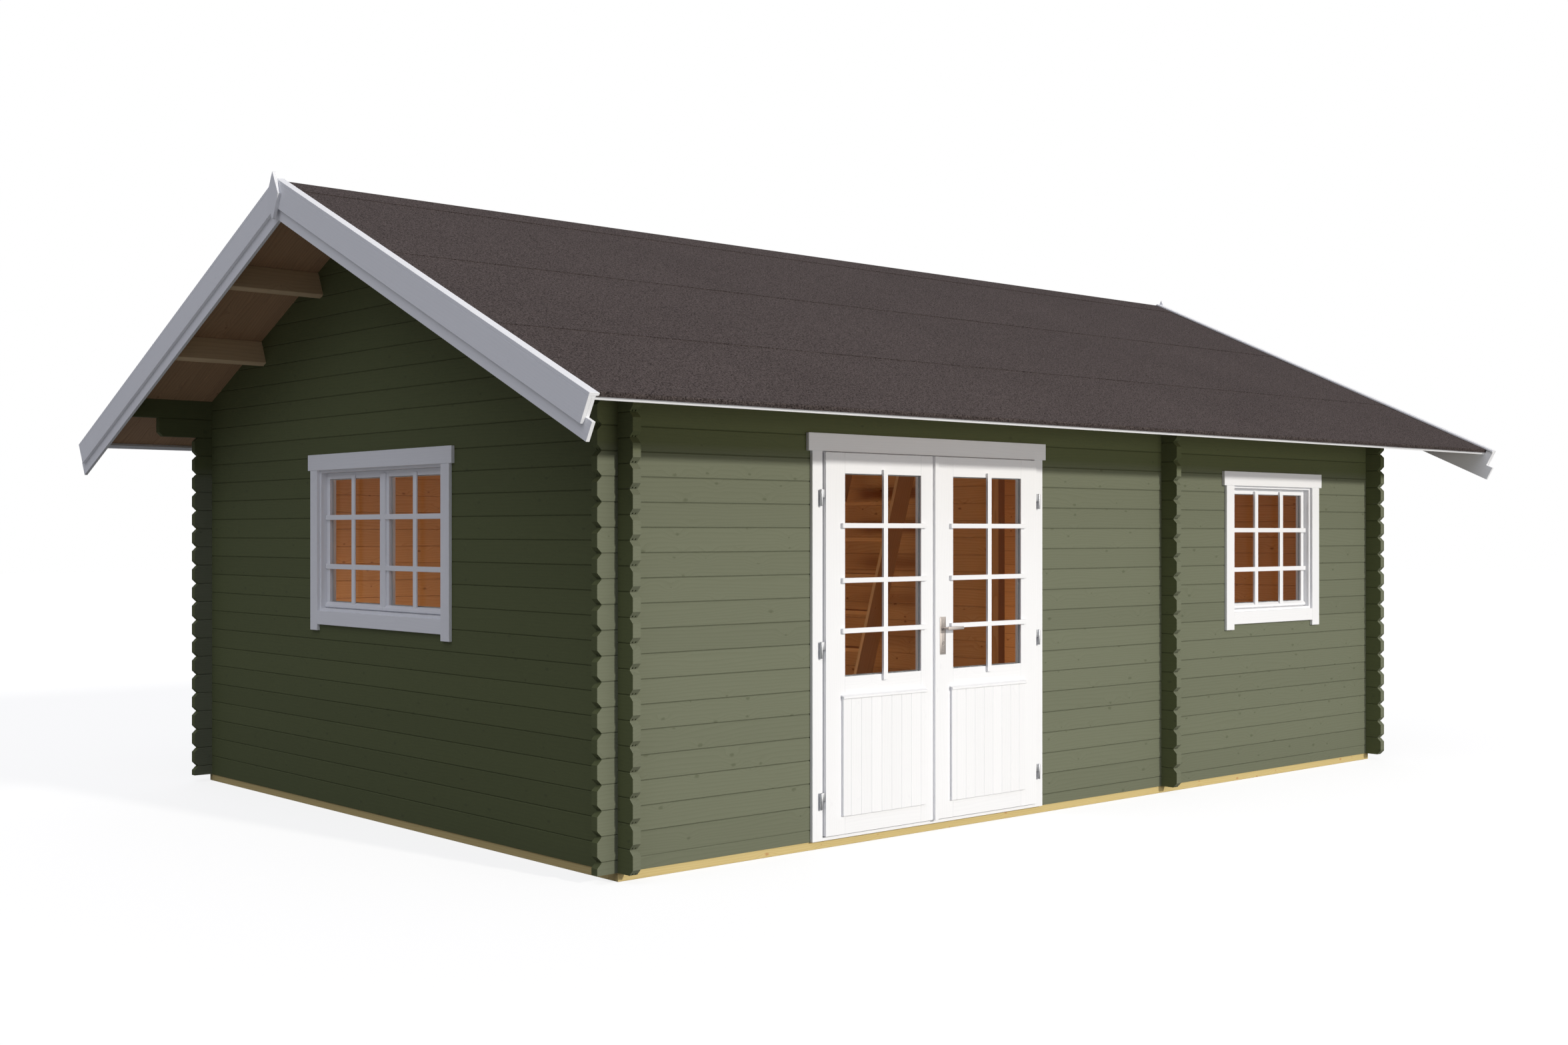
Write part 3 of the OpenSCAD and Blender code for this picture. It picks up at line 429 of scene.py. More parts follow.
@once
def mineral_felt():
    """Bitumen roofing felt with slate granules: rough, speckled, darker along the laps."""
    finish = bpy.context.scene.cabin_finish
    material, node = new_material("mineral_roofing_felt")
    spot = node(PLACE)["Object"]
    # Granules are 1 to 2 mm and don't show from afar, so their clusters are drawn about 8 mm wide
    cluster = node(NOISE, {"Vector": spot, "Scale": 125.0, "Detail": 3.0, "Roughness": 0.75})["Fac"]
    patch = node(NOISE, {"Vector": spot, "Scale": 1.4, "Detail": 2.0})["Fac"]
    limits = {"From Min": 0.36, "From Max": 0.64, "To Min": 1.0, "To Max": 0.0}
    grit = node(RANGE, {"Value": cluster, **limits})[0]
    mixed = blend(node, grit, finish.felt, finish.felt_dark)
    edge = node(SPLIT, (board_place(node)[0],))[1]
    limits = {"From Min": 2 * MM, "From Max": 9 * MM, "To Min": 0.8, "To Max": 1.0}
    lap = node(RANGE, {"Value": edge, **limits})[0]
    worn = node(MATH, (patch, 0.24, 0.88), "MULTIPLY_ADD")[0]
    shade = node(MATH, (worn, lap), "MULTIPLY")[0]
    shaded = node(VECTOR, {0: mixed, 3: shade}, "SCALE")[0]
    coat(node, {"Base Color": shaded, "Roughness": 0.9, "Specular IOR Level": 0.06}, cluster, 2 * MM)
    return material


@once
def treated_pine():
    """Pressure-treated pine, sawn: pale yellow-green with brown knots."""
    finish = bpy.context.scene.cabin_finish
    material, node = new_material("treated_pine")
    place, tone = board_place(node)
    grain, knot = spruce_figure(node, place, 12 * MM, 0.3)
    wood = figured(node, grain, knot, (finish.beam, finish.beam_dark), finish.spruce_dark, 0.55, 0.75)
    inputs = {"Base Color": toned(node, wood, tone, 0.05), "Roughness": 0.75, "Specular IOR Level": 0.2}
    coat(node, inputs, grain, 0.8 * MM)
    return material


@once
def worked_steel(tint, name, roughness, stretch):
    """Steel, brushed or zinc-plated: a dull metal gleam with fine lines or a faint mottle."""
    material, node = new_material(name)
    # Brush lines are finer than a picture shows, so they are drawn about 1 mm apart
    lines = node("ShaderNodeMapping", {"Vector": node(PLACE)["Object"], "Scale": stretch})[0]
    brushed = node(NOISE, {"Vector": lines, "Scale": 1.0, "Detail": 3.0})["Fac"]
    bright = getattr(bpy.context.scene.cabin_finish, tint)
    dark = tuple(c * 0.72 for c in bright[:3]) + (1.0,)
    mixed = blend(node, brushed, bright, dark)
    rough = node(RANGE, {"Value": brushed, "To Min": roughness - 0.08, "To Max": roughness + 0.08})[0]
    coat(node, {"Base Color": mixed, "Roughness": rough, "Metallic": 1.0}, brushed, 0.1 * MM)
    return material


@once
def keyhole_shade():
    """Painted shade of a keyhole and of the gap round its cylinder: a matt, slightly mottled near-black."""
    rubber = bpy.context.scene.cabin_finish.rubber
    material, node = new_material("black_rubber_gasket")
    mottle = node(NOISE, {"Vector": node(PLACE)["Object"], "Scale": 400.0})["Fac"]
    paler = tuple(c * 1.8 for c in rubber[:3]) + (1.0,)
    coat(node, {"Base Color": blend(node, mottle, rubber, paler), "Roughness": 0.65})
    return material


@once
def float_glass():
    """Clear float glass: flat, bright and hardly tinted, with a trace of waviness."""
    material, node = new_material("clear_float_glass")
    wave = node(NOISE, {"Vector": node(PLACE)["Object"], "Scale": 3.0, "Detail": 0.0})["Fac"]
    # The IOR is below the usual 1.5, because the panes hardly mirror their surroundings
    tint = bpy.context.scene.cabin_finish.glass
    inputs = {"Base Color": tint, "Roughness": 0.0, "IOR": 1.08, "Transmission Weight": 1.0}
    coat(node, inputs, wave, 0.1 * MM)
    return material


def eased(bm, edge, segments=2, least=12):
    """Rounds every sharp edge of a solid."""
    if edge <= 0:
        return
    sharp = [e for e in bm.edges if len(e.link_faces) == 2 and e.calc_face_angle(0) > math.radians(least)]
    bmesh.ops.bevel(
        bm, geom=sharp, offset=edge, offset_type="OFFSET", segments=segments, profile=0.5, affect="EDGES",
        clamp_overlap=True
    )


def band(bm, low, high):
    """Closes the band between two rings of vertices."""
    for i in range(len(low)):
        j = (i + 1) % len(low)
        bm.faces.new((low[i], low[j], high[j], high[i]))


def closed(bm, rings):
    """Closes the bands between rings of vertices, and the first and the last ring."""
    bm.faces.new(rings[0])
    bm.faces.new(rings[-1])
    for low, high in zip(rings, rings[1:]):
        band(bm, low, high)
    bmesh.ops.recalc_face_normals(bm, faces=bm.faces)


def swept(outline, start, end, run):
    """A drawing swept along run. Along X it is drawn in Y and Z, along Y in X and Z, along Z in X and Y."""
    order = {"x": (2, 0, 1), "y": (0, 2, 1), "z": (0, 1, 2)}[run]
    bm = bmesh.new()
    closed(bm, [
        [bm.verts.new([(u, v, level)[i] for i in order]) for u, v in outline] for level in (start, end)
    ])
    return bm


def merged(node):
    """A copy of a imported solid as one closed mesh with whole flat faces."""
    bm = bmesh.new()
    bm.from_mesh(NODES[node].data)
    bmesh.ops.remove_doubles(bm, verts=bm.verts, dist=WELD)
    bmesh.ops.dissolve_limit(bm, angle_limit=math.radians(0.2), verts=bm.verts, edges=bm.edges)
    return bm


def islands(bm):
    """The separate solids of a mesh in the order of its vertices, each as a set of vertices."""
    done = set()
    for first in bm.verts:
        if first in done:
            continue
        todo = [first]
        found = {first}
        while todo:
            for edge in todo.pop().link_edges:
                for vert in edge.verts:
                    if vert not in found:
                        found.add(vert)
                        todo.append(vert)
        done |= found
        yield found


def dress(node, material):
    """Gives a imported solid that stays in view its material."""
    solid = NODES[node]
    if not solid.material_slots:
        solid.data.materials.append(material)
    for slot in solid.material_slots:
        slot.material = material


def piece_from(name, mesh, material, body, slot, *nodes):
    """A finished piece from a mesh: its material, its body and the solids that it stands for; the slot is not
    used.
    """
    mesh.name = name
    mesh.materials.append(material)
    piece = bpy.data.objects.new(name, mesh)
    bpy.context.scene.collection.objects.link(piece)
    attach(piece, body)
    if nodes:
        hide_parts(*nodes)


class Timber:
    """Collects boards and other solids in one mesh, each with its own grain coordinates and tone."""

    def __init__(self, place=None, edge=None):
        self.place = place or Matrix()
        self.edge = bpy.context.scene.cabin_joinery.ease if edge is None else edge
        self.points = []
        self.faces = []
        self.grain = []
        self.tones = []
        self.smooth = []
        self.count = 0

    def take(self, verts, faces, axis, smooth=False):
        """Adds one solid, already in place, whose grain runs along axis."""
        self.count += 1
        along = axis.normalized()
        side = along.cross(Z_AXIS if abs(along.z) < 0.9 else X_AXIS).normalized()
        frame_axes = (along, along.cross(side), side)
        # Each solid has its own piece of the figure, up to 9 m away
        shifts = [self.count * GOLDEN * k % 1 * 9 for k in (1.0, 1.7, 2.3)]
        start = len(self.points)
        self.points += verts
        self.grain += [tuple(p.dot(a) + s for a, s in zip(frame_axes, shifts)) for p in verts]
        self.tones += [self.count * GOLDEN % 1] * len(verts)
        self.faces += [[start + i for i in face] for face in faces]
        self.smooth += [smooth] * len(faces)

    def absorb(self, bm, axis, smooth=False):
        """Adds the solids of a bmesh, moved to the collector's place."""
        bmesh.ops.recalc_face_normals(bm, faces=bm.faces)
        bm.transform(self.place)
        bm.verts.index_update()
        self.take(
            [v.co.copy() for v in bm.verts], [[v.index for v in f.verts] for f in bm.faces],
            self.place.to_3x3() @ axis, smooth
        )
        bm.free()

    def prism(self, outline, start, end, run, axis=None, edge=None):
        """A swept drawing with eased edges, with the grain along its run or another axis."""
        bm = swept(outline, start, end, run)
        eased(bm, self.edge if edge is None else edge)
        self.absorb(bm, axis or {"x": X_AXIS, "y": Y_AXIS, "z": Z_AXIS}[run])

    def box(self, x0, x1, y0, y1, z0, z1, edge=None):
        """A squared board between its corners, with the grain along its longest side."""
        sizes = (abs(x1 - x0), abs(y1 - y0), abs(z1 - z0))
        axis = (X_AXIS, Y_AXIS, Z_AXIS)[sizes.index(max(sizes))]
        self.prism([(x0, y0), (x1, y0), (x1, y1), (x0, y1)], z0, z1, "z", axis, edge)

    def turned(self, profile, centre, axis, steps=24):
        """A turned solid: radius and height pairs in millimetres about an axis through centre."""
        bm = bmesh.new()
        turn = Z_AXIS.rotation_difference(axis).to_matrix()
        rings = []
        for radius, height in profile:
            angles = (2 * math.pi * i / steps for i in range(steps))
            spots = (Vector((radius * math.cos(a), radius * math.sin(a), height)) * MM for a in angles)
            rings.append([bm.verts.new(turn @ spot + centre) for spot in spots])
        closed(bm, rings)
        self.absorb(bm, axis, smooth=True)

    def copy(self, node):
        """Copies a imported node's solids with eased edges, grain along the longest edge of each."""
        whole = merged(node)
        eased(whole, self.edge)
        for verts in islands(whole):
            ordered = [v for v in whole.verts if v in verts]
            order = {v: i for i, v in enumerate(ordered)}
            edges = [e for e in whole.edges if e.verts[0] in verts]
            faces = [[order[v] for v in f.verts] for f in whole.faces if f.verts[0] in verts]
            longest = max(edges, key=lambda e: e.calc_length())
            axis = longest.verts[1].co - longest.verts[0].co
            self.take([v.co.copy() for v in ordered], faces, axis)
        whole.free()

    def row(self, place, count, pitch, play, run, thickness, edge):
        """Adds a row of equal boards made by the board row tree."""
        tree, names = board_row_tree()
        mesh = evaluated(bpy.data.meshes.new("row"), [(tree, names, {
            "Count": count, "Pitch": pitch, "Run": run, "Width": pitch - play, "Thickness": thickness,
            "Edge": edge, "Seed": self.count + 1,
        })])
        self.count += count
        mesh.transform(self.place @ place)
        start = len(self.points)
        self.points += [v.co.copy() for v in mesh.vertices]
        self.faces += [[start + i for i in p.vertices] for p in mesh.polygons]
        self.smooth += [False] * len(mesh.polygons)
        self.grain += [tuple(d.vector) for d in mesh.attributes["grain"].data]
        self.tones += [d.value for d in mesh.attributes["tone"].data]
        bpy.data.meshes.remove(mesh)

    def piece(self, name, material, body, slot, *nodes):
        """Turns what was collected into a finished piece."""
        mesh = bpy.data.meshes.new(name)
        mesh.from_pydata(self.points, [], self.faces)
        grain = mesh.attributes.new("grain", "FLOAT_VECTOR", "POINT")
        grain.data.foreach_set("vector", [c for g in self.grain for c in g])
        tone = mesh.attributes.new("tone", "FLOAT", "POINT")
        tone.data.foreach_set("value", self.tones)
        mesh.polygons.foreach_set("use_smooth", self.smooth)
        mesh.validate()
        if any(self.smooth):
            mesh.set_sharp_from_angle(angle=math.radians(35))
        piece_from(name, mesh, material, body, slot, *nodes)


def copied(node, name, material, slot, edge=None):
    """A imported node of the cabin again, with eased edges and its own grain."""
    timber = Timber(edge=edge)
    timber.copy(node)
    timber.piece(name, material, "cabin", slot, node)


def beads(box, sizes, x0, x1, y0, y1, z0, z1):
    """Four beads round a pane, each made with the box function."""
    wide, edge = sizes.bead, 1 * MM
    for a, b in ((x0, x0 + wide), (x1 - wide, x1)):
        box(a, b, y0, y1, z0, z1, edge)
    for a, b in ((z0, z0 + wide), (z1 - wide, z1)):
        box(x0 + wide, x1 - wide, y0, y1, a, b, edge)


def new_tree(name, sockets):
    """An empty geometry tree: the tree, its node function, its inputs and their identifiers."""
    tree = bpy.data.node_groups.new(name, "GeometryNodeTree")
    tree.is_modifier = True
    tree.interface.new_socket("Geometry", in_out="OUTPUT", socket_type="NodeSocketGeometry")
    for title, kind in {"Geometry": "Geometry", **sockets}.items():
        tree.interface.new_socket(title, in_out="INPUT", socket_type="NodeSocket" + kind)
    names = {item.name: item.identifier for item in tree.interface.items_tree if item.in_out == "INPUT"}
    return tree, partial(add, tree), add(tree, "NodeGroupInput"), names


def evaluated(mesh, runs):
    """Runs geometry trees on a mesh, one after the other, and returns the result as a plain mesh."""
    carrier = bpy.data.objects.new("carrier", mesh)
    bpy.context.scene.collection.objects.link(carrier)
    for tree, names, values in runs:
        modifier = carrier.modifiers.new(tree.name, "NODES")
        modifier.node_group = tree
        for title, value in values.items():
            modifier[names[title]] = value
    graph = bpy.context.evaluated_depsgraph_get()
    result = bpy.data.meshes.new_from_object(carrier.evaluated_get(graph))
    bpy.data.objects.remove(carrier)
    bpy.data.meshes.remove(mesh)
    result.materials.clear()
    result.polygons.foreach_set("material_index", [0] * len(result.polygons))
    return result


@once
def board_row_tree():
    """A row of boards with eased edges: each runs along Y from the origin, and the row goes along X."""
    tree, node, given, names = new_tree("board_row", {
        "Count": "Int", "Pitch": "Float", "Run": "Float", "Width": "Float", "Thickness": "Float",
        "Edge": "Float", "Seed": "Int",
    })
    line = node("GeometryNodeCurvePrimitiveLine", {"End": node(JOIN, {1: given["Run"]})[0]})[0]
    sizes = {"Width": given["Width"], "Height": given["Thickness"]}
    profile = node("GeometryNodeCurvePrimitiveQuadrilateral", sizes)[0]
    corners = {"Curve": profile, "Count": 1, "Radius": given["Edge"]}
    fillet = node("GeometryNodeFilletCurve", corners, mode="POLY")[0]
    board = node("GeometryNodeCurveToMesh", {"Curve": line, "Profile Curve": fillet, "Fill Caps": True})[0]
    spot = node(SPLIT, (node("GeometryNodeInputPosition")[0],))
    own = node(JOIN, (spot[1], spot[0], spot[2]))[0]
    points_of = {"data_type": "FLOAT_VECTOR", "domain": "POINT"}
    marked = node(STORE, {"Geometry": board, "Name": "grain", "Value": own}, **points_of)[0]
    step = node(JOIN, (given["Pitch"],))[0]
    points = node("GeometryNodeMeshLine", {"Count": given["Count"], "Offset": step})[0]
    placed = node("GeometryNodeInstanceOnPoints", {"Points": points, "Instance": marked})[0]
    # Each board has its own piece of the figure and its own tone
    limits = {0: (0, 0, 0), 1: (9, 9, 9), "Seed": given["Seed"]}
    far = node("FunctionNodeRandomValue", limits, data_type="FLOAT_VECTOR")[0]
    boards_of = {"data_type": "FLOAT_VECTOR", "domain": "INSTANCE"}
    shifted = node(STORE, {"Geometry": placed, "Name": "shift", "Value": far}, **boards_of)[0]
    dice = node("FunctionNodeRandomValue", {"Seed": given["Seed"]}, data_type="FLOAT")[1]
    tones = {"Geometry": shifted, "Name": "tone", "Value": dice}
    toned_row = node(STORE, tones, data_type="FLOAT", domain="INSTANCE")[0]
    real = node("GeometryNodeRealizeInstances", (toned_row,))[0]
    parts = [node(NAMED, {"Name": name}, data_type="FLOAT_VECTOR")[0] for name in ("grain", "shift")]
    total = node(VECTOR, parts, "ADD")[0]
    figured_row = node(STORE, {"Geometry": real, "Name": "grain", "Value": total}, **points_of)[0]
    node("NodeGroupOutput", (figured_row,))
    return tree, names


@once
def log_groove_tree():
    """Cuts the two grooves under each log into a column of chamfered log ends."""
    tree, node, given, names = new_tree("log_grooves", {
        "Corner": "Vector", "Turn": "Vector", "Count": "Int", "Course": "Float", "Radius": "Float",
        "Height": "Float", "Spacing": "Float", "Depth": "Float",
    })
    sizes = {"Vertices": 12, "Radius": given["Radius"], "Depth": given["Depth"]}
    drill = node("GeometryNodeMeshCylinder", sizes)[0]
    pair = []
    for share in (0.5, -0.5):
        across = node(MATH, (given["Spacing"], share), "MULTIPLY")[0]
        spot = node(JOIN, {1: across, 2: given["Height"]})[0]
        laid = {"Geometry": drill, "Translation": spot, "Rotation": (0.0, math.pi / 2, 0.0)}
        pair.append(node("GeometryNodeTransform", laid)[0])
    both = node("GeometryNodeJoinGeometry", {0: pair})[0]
    step = node(JOIN, {2: given["Course"]})[0]
    points = node("GeometryNodeMeshLine", {"Count": given["Count"], "Offset": step})[0]
    column = node("GeometryNodeInstanceOnPoints", {"Points": points, "Instance": both})[0]
    real = node("GeometryNodeRealizeInstances", (column,))[0]
    at_corner = {"Geometry": real, "Translation": given["Corner"], "Rotation": given["Turn"]}
    drills = node("GeometryNodeTransform", at_corner)[0]
    cut = node("GeometryNodeMeshBoolean", (given["Geometry"], drills), "DIFFERENCE", solver="EXACT")[0]
    node("NodeGroupOutput", (node("GeometryNodeRealizeInstances", (cut,))[0],))
    return tree, names


def wall_sizes():
    """The wall's main sizes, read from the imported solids, and the chamfer of its log ends."""
    back_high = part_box("back_wall")[1]
    gable_low, gable_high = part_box("left_gable_lower")
    middle_low, middle_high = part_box("front_wall_middle")
    under_low, under_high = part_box("front_wall_under_window")
    return {
        "beam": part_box("foundation_beams")[1].z,
        "log": (under_high.z - under_low.z) / LOGS_UNDER_WINDOW,
        "thick": middle_high.y - middle_low.y,
        "half_w": -middle_low.y,
        "half_l": -gable_low.x,
        "eave": back_high.z,
        "tip_x": back_high.x,
        "tip_y": gable_high.y,
        "chamfer": 26 * MM,
    }


WALL = wall_sizes()


class CABIN_OT_logs(bpy.types.Operator):
    """Stains the log walls and cuts the grooves into the log ends"""

    bl_idname = "cabin.logs"
    bl_label = "Log walls"

    def execute(self, context):
        sizes = context.scene.cabin_joinery
        mid_y = WALL["half_w"] - WALL["thick"] / 2
        end_x = WALL["tip_x"] - WALL["chamfer"]
        end_y = WALL["tip_y"] - WALL["chamfer"]
        columns = {}
        for node, (ends, side) in LONG_WALLS.items():
            z = WALL["beam"] + WALL["log"] / 2
            columns[node] = [((s * end_x, side * mid_y, z), math.pi * (s < 0)) for s in ends]
        for node, ends in CROSS_WALLS.items():
            low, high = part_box(node)
            mid_x = (low.x + high.x) / 2
            columns[node] = [((mid_x, s * end_y, WALL["beam"]), s * math.pi / 2) for s in ends]
        tree, names = log_groove_tree()
        grooves = {
            "Count": COURSES, "Course": WALL["log"], "Radius": sizes.groove_r, "Height": sizes.groove_z,
            "Spacing": sizes.groove_gap, "Depth": sizes.groove_run,
        }
        for node, ends in columns.items():
            bm = merged(node)
            mesh = bpy.data.meshes.new("wall")
            bm.to_mesh(mesh)
            bm.free()
            cuts = [{"Corner": corner, "Turn": (0.0, 0.0, turn), **grooves} for corner, turn in ends]
            result = evaluated(mesh, [(tree, names, cut) for cut in cuts])
            material = stained_logs("x" if node in LONG_WALLS else "y")
            piece_from(node + "_logs", result, material, "cabin", "log_green", node)
        for node in LONG_PLAIN:
            dress(node, stained_logs("x"))
        return {"FINISHED"}


class CABIN_OT_foundation(bpy.types.Operator):
    """Lays the foundation timbers"""

    bl_idname = "cabin.foundation"
    bl_label = "Foundation"

    def execute(self, context):
        low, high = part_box("foundation_beams")
        wide = 70 * MM
        joists = 4
        timber = Timber(edge=2.5 * MM)
        for y in (low.y, high.y - wide):
            timber.box(low.x, high.x, y, y + wide, low.z, high.z)
        partition_low, partition_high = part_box("partition_top")
        middle = (partition_low.x + partition_high.x) / 2 - wide / 2
        for x in (low.x, middle, high.x - wide):
            timber.box(x, x + wide, low.y + wide, high.y - wide, low.z, high.z)
        for i in range(1, joists + 1):
            y = low.y + i * (high.y - low.y) / (joists + 1) - wide / 2
            timber.box(low.x + wide, middle, y, y + wide, low.z, high.z)
            timber.box(middle + wide, high.x - wide, y, y + wide, low.z, high.z)
        timber.piece("foundation_timbers", treated_pine(), "cabin", "impregnated", "foundation_beams")
        return {"FINISHED"}


class CABIN_OT_inside(bpy.types.Operator):
    """Lays the floor and makes the partition's door frame and the stair"""

    bl_idname = "cabin.inside"
    bl_label = "Inside"

    def execute(self, context):
        wood = bare_spruce("spruce")
        self.boards(context.scene.cabin_joinery, wood)
        copied("stair_treads", "stair_steps", wood, "inner_wood", 3 * MM)
        copied("stair_stringers", "stair_sides", bare_spruce("purlin", *SAWN), "inner_wood", 2 * MM)
        low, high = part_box("partition_door_frame")
        casing_t, casing_w, jamb, floor_t = (v * MM for v in (18, 85, 46, 19))
        face = low.x + casing_t
        sill = WALL["beam"] + floor_t
        head = high.z - (casing_w - jamb)
        door = Timber()
        for y in (low.y, high.y - casing_w):
            door.box(low.x, face, y, y + casing_w, sill, high.z - casing_w)
        door.box(low.x, face, low.y, high.y, high.z - casing_w, high.z)
        y0 = low.y + casing_w - jamb
        y1 = high.y - casing_w + jamb
        for y in (y0, y1 - jamb):
            door.box(face, high.x, y, y + jamb, low.z, head)
        for z0, z1 in ((head - jamb, head), (low.z, sill)):
            door.box(face, high.x, y0 + jamb, y1 - jamb, z0, z1)
        door.piece("partition_doorway", wood, "cabin", "inner_wood", "partition_door_frame")
        return {"FINISHED"}

    def boards(self, sizes, wood):
        """A row of floor boards in each room, along the cabin."""
        floor = Timber()
        bm = merged("floor_boards")
        for verts in islands(bm):
            low, high = (Vector([pick(v.co[i] for v in verts) for i in range(3)]) for pick in (min, max))
            count = round((high.y - low.y) / sizes.floor_board)
            pitch = (high.y - low.y) / count
            thickness = high.z - low.z
            place = Matrix.Translation((high.x, low.y + pitch / 2, low.z + thickness / 2))
            turn = Matrix.Rotation(math.pi / 2, 4, "Z")
            floor.row(
                place @ turn, count, pitch, play=0.4 * MM, run=high.x - low.x, thickness=thickness,
                edge=1.5 * MM
            )
        bm.free()
        floor.piece("floor_planks", wood, "cabin", "inner_wood", "floor_boards")


class RoofPlane:
    """Points of the roof's cross-section, measured down the slope from the ridge and out from the soffit."""

    def __init__(self, roof):
        self.sin = math.sin(roof.pitch)
        self.cos = math.cos(roof.pitch)
        low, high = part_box("roof_boards_front")
        self.ridge = high.z - roof.board_t / self.cos
        self.half = high.x
        self.run = (-low.y - roof.board_t * self.sin) / self.cos

    def points(self, drawing, side):
        """Y and Z of a drawing on the front slope (side -1) or the back slope (side 1)."""
        return [
            (side * (down * self.cos + out * self.sin), self.ridge - down * self.sin + out * self.cos)
            for down, out in drawing
        ]


class CABIN_OT_roof(bpy.types.Operator):
    """Lays the roof boards, the felt and the purlins"""

    bl_idname = "cabin.roof"
    bl_label = "Roof"

    def execute(self, context):
        roof = context.scene.cabin_roof
        plane = RoofPlane(roof)
        self.boards(roof, plane)
        self.felt(roof, plane)
        copied("purlins", "purlin_beams", bare_spruce("purlin", *SAWN), "soffit_wood", 3 * MM)
        return {"FINISHED"}

    def boards(self, roof, plane):
        """Boards that run down both slopes, side by side along the ridge."""
        count = round(2 * plane.half / roof.board)
        pitch = 2 * plane.half / count
        for side, hand in ((-1, "front"), (1, "back")):
            along = Vector((-side, 0, 0))
            down = Vector((0, side * plane.cos, -plane.sin))
            out = Vector((0, side * plane.sin, plane.cos))
            place = Matrix((along, down, along.cross(down))).transposed().to_4x4()
            corner = Vector((side * (plane.half - pitch / 2), 0, plane.ridge))
            place.translation = corner + out * roof.board_t / 2
            boards = Timber()
            boards.row(
                place, count, pitch, play=0.3 * MM, run=plane.run, thickness=roof.board_t,
                edge=roof.board_edge
            )
            wood = bare_spruce("soffit", *SAWN)
            boards.piece("roof_planks_" + hand, wood, "cabin", "soffit_wood", "roof_boards_" + hand)

    def felt(self, roof, plane):
        """Three strips of felt on each slope, each lapping the next one down, and one over the ridge."""
        base = roof.board_t + 0.2 * MM
        top = roof.board_t + roof.felt_t
        thin = top - roof.step
        # How far a strip reaches under the one above, and the width of its loose edge, at the eave too
        lap, loose, loose_eave = (v * MM for v in (50, 20, 30))
        felt = Timber(edge=0)
        starts = (roof.ridge_strip, roof.first_lap, roof.second_lap)
        for side in (-1, 1):
            for i, (start, end) in enumerate(zip(starts, (*starts[1:], plane.run))):
                drawing = [(start - lap, base), (start - lap, thin)]
                if end < plane.run:
                    drawing += [
                        (end - loose, top - 0.3 * MM), (end, top), (end, thin - 0.2 * MM),
                        (end - loose, base),
                    ]
                    marks = (None, None, loose, 0.0, 0.0, None)
                else:
                    fold = end + roof.fold
                    drawing += [
                        (end - loose_eave, top - 0.3 * MM), (end, top),
                        (end + roof.fold * 0.7, top - 1.5 * MM), (fold, top - 6 * MM), (fold, 1 * MM),
                        (end + 0.4 * MM, 1 * MM), (end + 0.4 * MM, base),
                    ]
                    marks = (None, None, loose_eave, 4 * MM, 0.0, 0.0, 0.0, None, None)
                self.strip(felt, roof, plane, plane.points(drawing, side), marks, side * 3 + i)
        over = top + 1 * MM
        end = roof.ridge_strip
        half = [(end, thin), (end, top + 0.4 * MM), (end - loose, over)]
        peak, inner = ((0.0, plane.ridge + out / plane.cos) for out in (over, thin))
        section = plane.points(half, -1) + [peak] + plane.points(half[::-1], 1) + [inner]
        self.strip(felt, roof, plane, section, (0.0, 0.0, loose, None, loose, 0.0, 0.0, None), 9)
        felt.piece("felt_strips", mineral_felt(), "cabin", "felt", "roof_felt")

    def strip(self, felt, roof, plane, section, marks, seed):
        """One strip run along the roof: its drawing in Y and Z strays a little at each cut.

        A mark is a point's distance from the loose edge, which darkens there, and None marks a point that is
        held down.
        """
        # Distance that counts for a held point, waves in a metre, and their change from point to point
        held, waves, change = 0.2, 2.1, 0.17
        bm = bmesh.new()
        rings = []
        grain = []
        for i in range(roof.cuts + 1):
            x = -plane.half + 2 * plane.half * i / roof.cuts
            ring = []
            for k, ((y, z), mark) in enumerate(zip(section, marks)):
                stray = noise.noise(Vector((x * waves, seed, k * change))) * roof.waver
                ring.append(bm.verts.new((x, y, z if mark is None else z + stray)))
                grain.append((x, held if mark is None else mark, seed))
            rings.append(ring)
        closed(bm, rings)
        start = len(felt.points)
        felt.absorb(bm, X_AXIS)
        felt.grain[start:] = grain


class CABIN_OT_roof_trim(bpy.types.Operator):
    """Makes the bargeboards, caps, finials and eave strips with eased edges"""

    bl_idname = "cabin.roof_trim"
    bl_label = "Roof trim"

    def execute(self, context):
        for node in ("barge_boards", "barge_backs", "barge_caps", "finials", "eave_strips"):
            copied(node, node + "_painted", white_paint(), "trim_white")
        return {"FINISHED"}


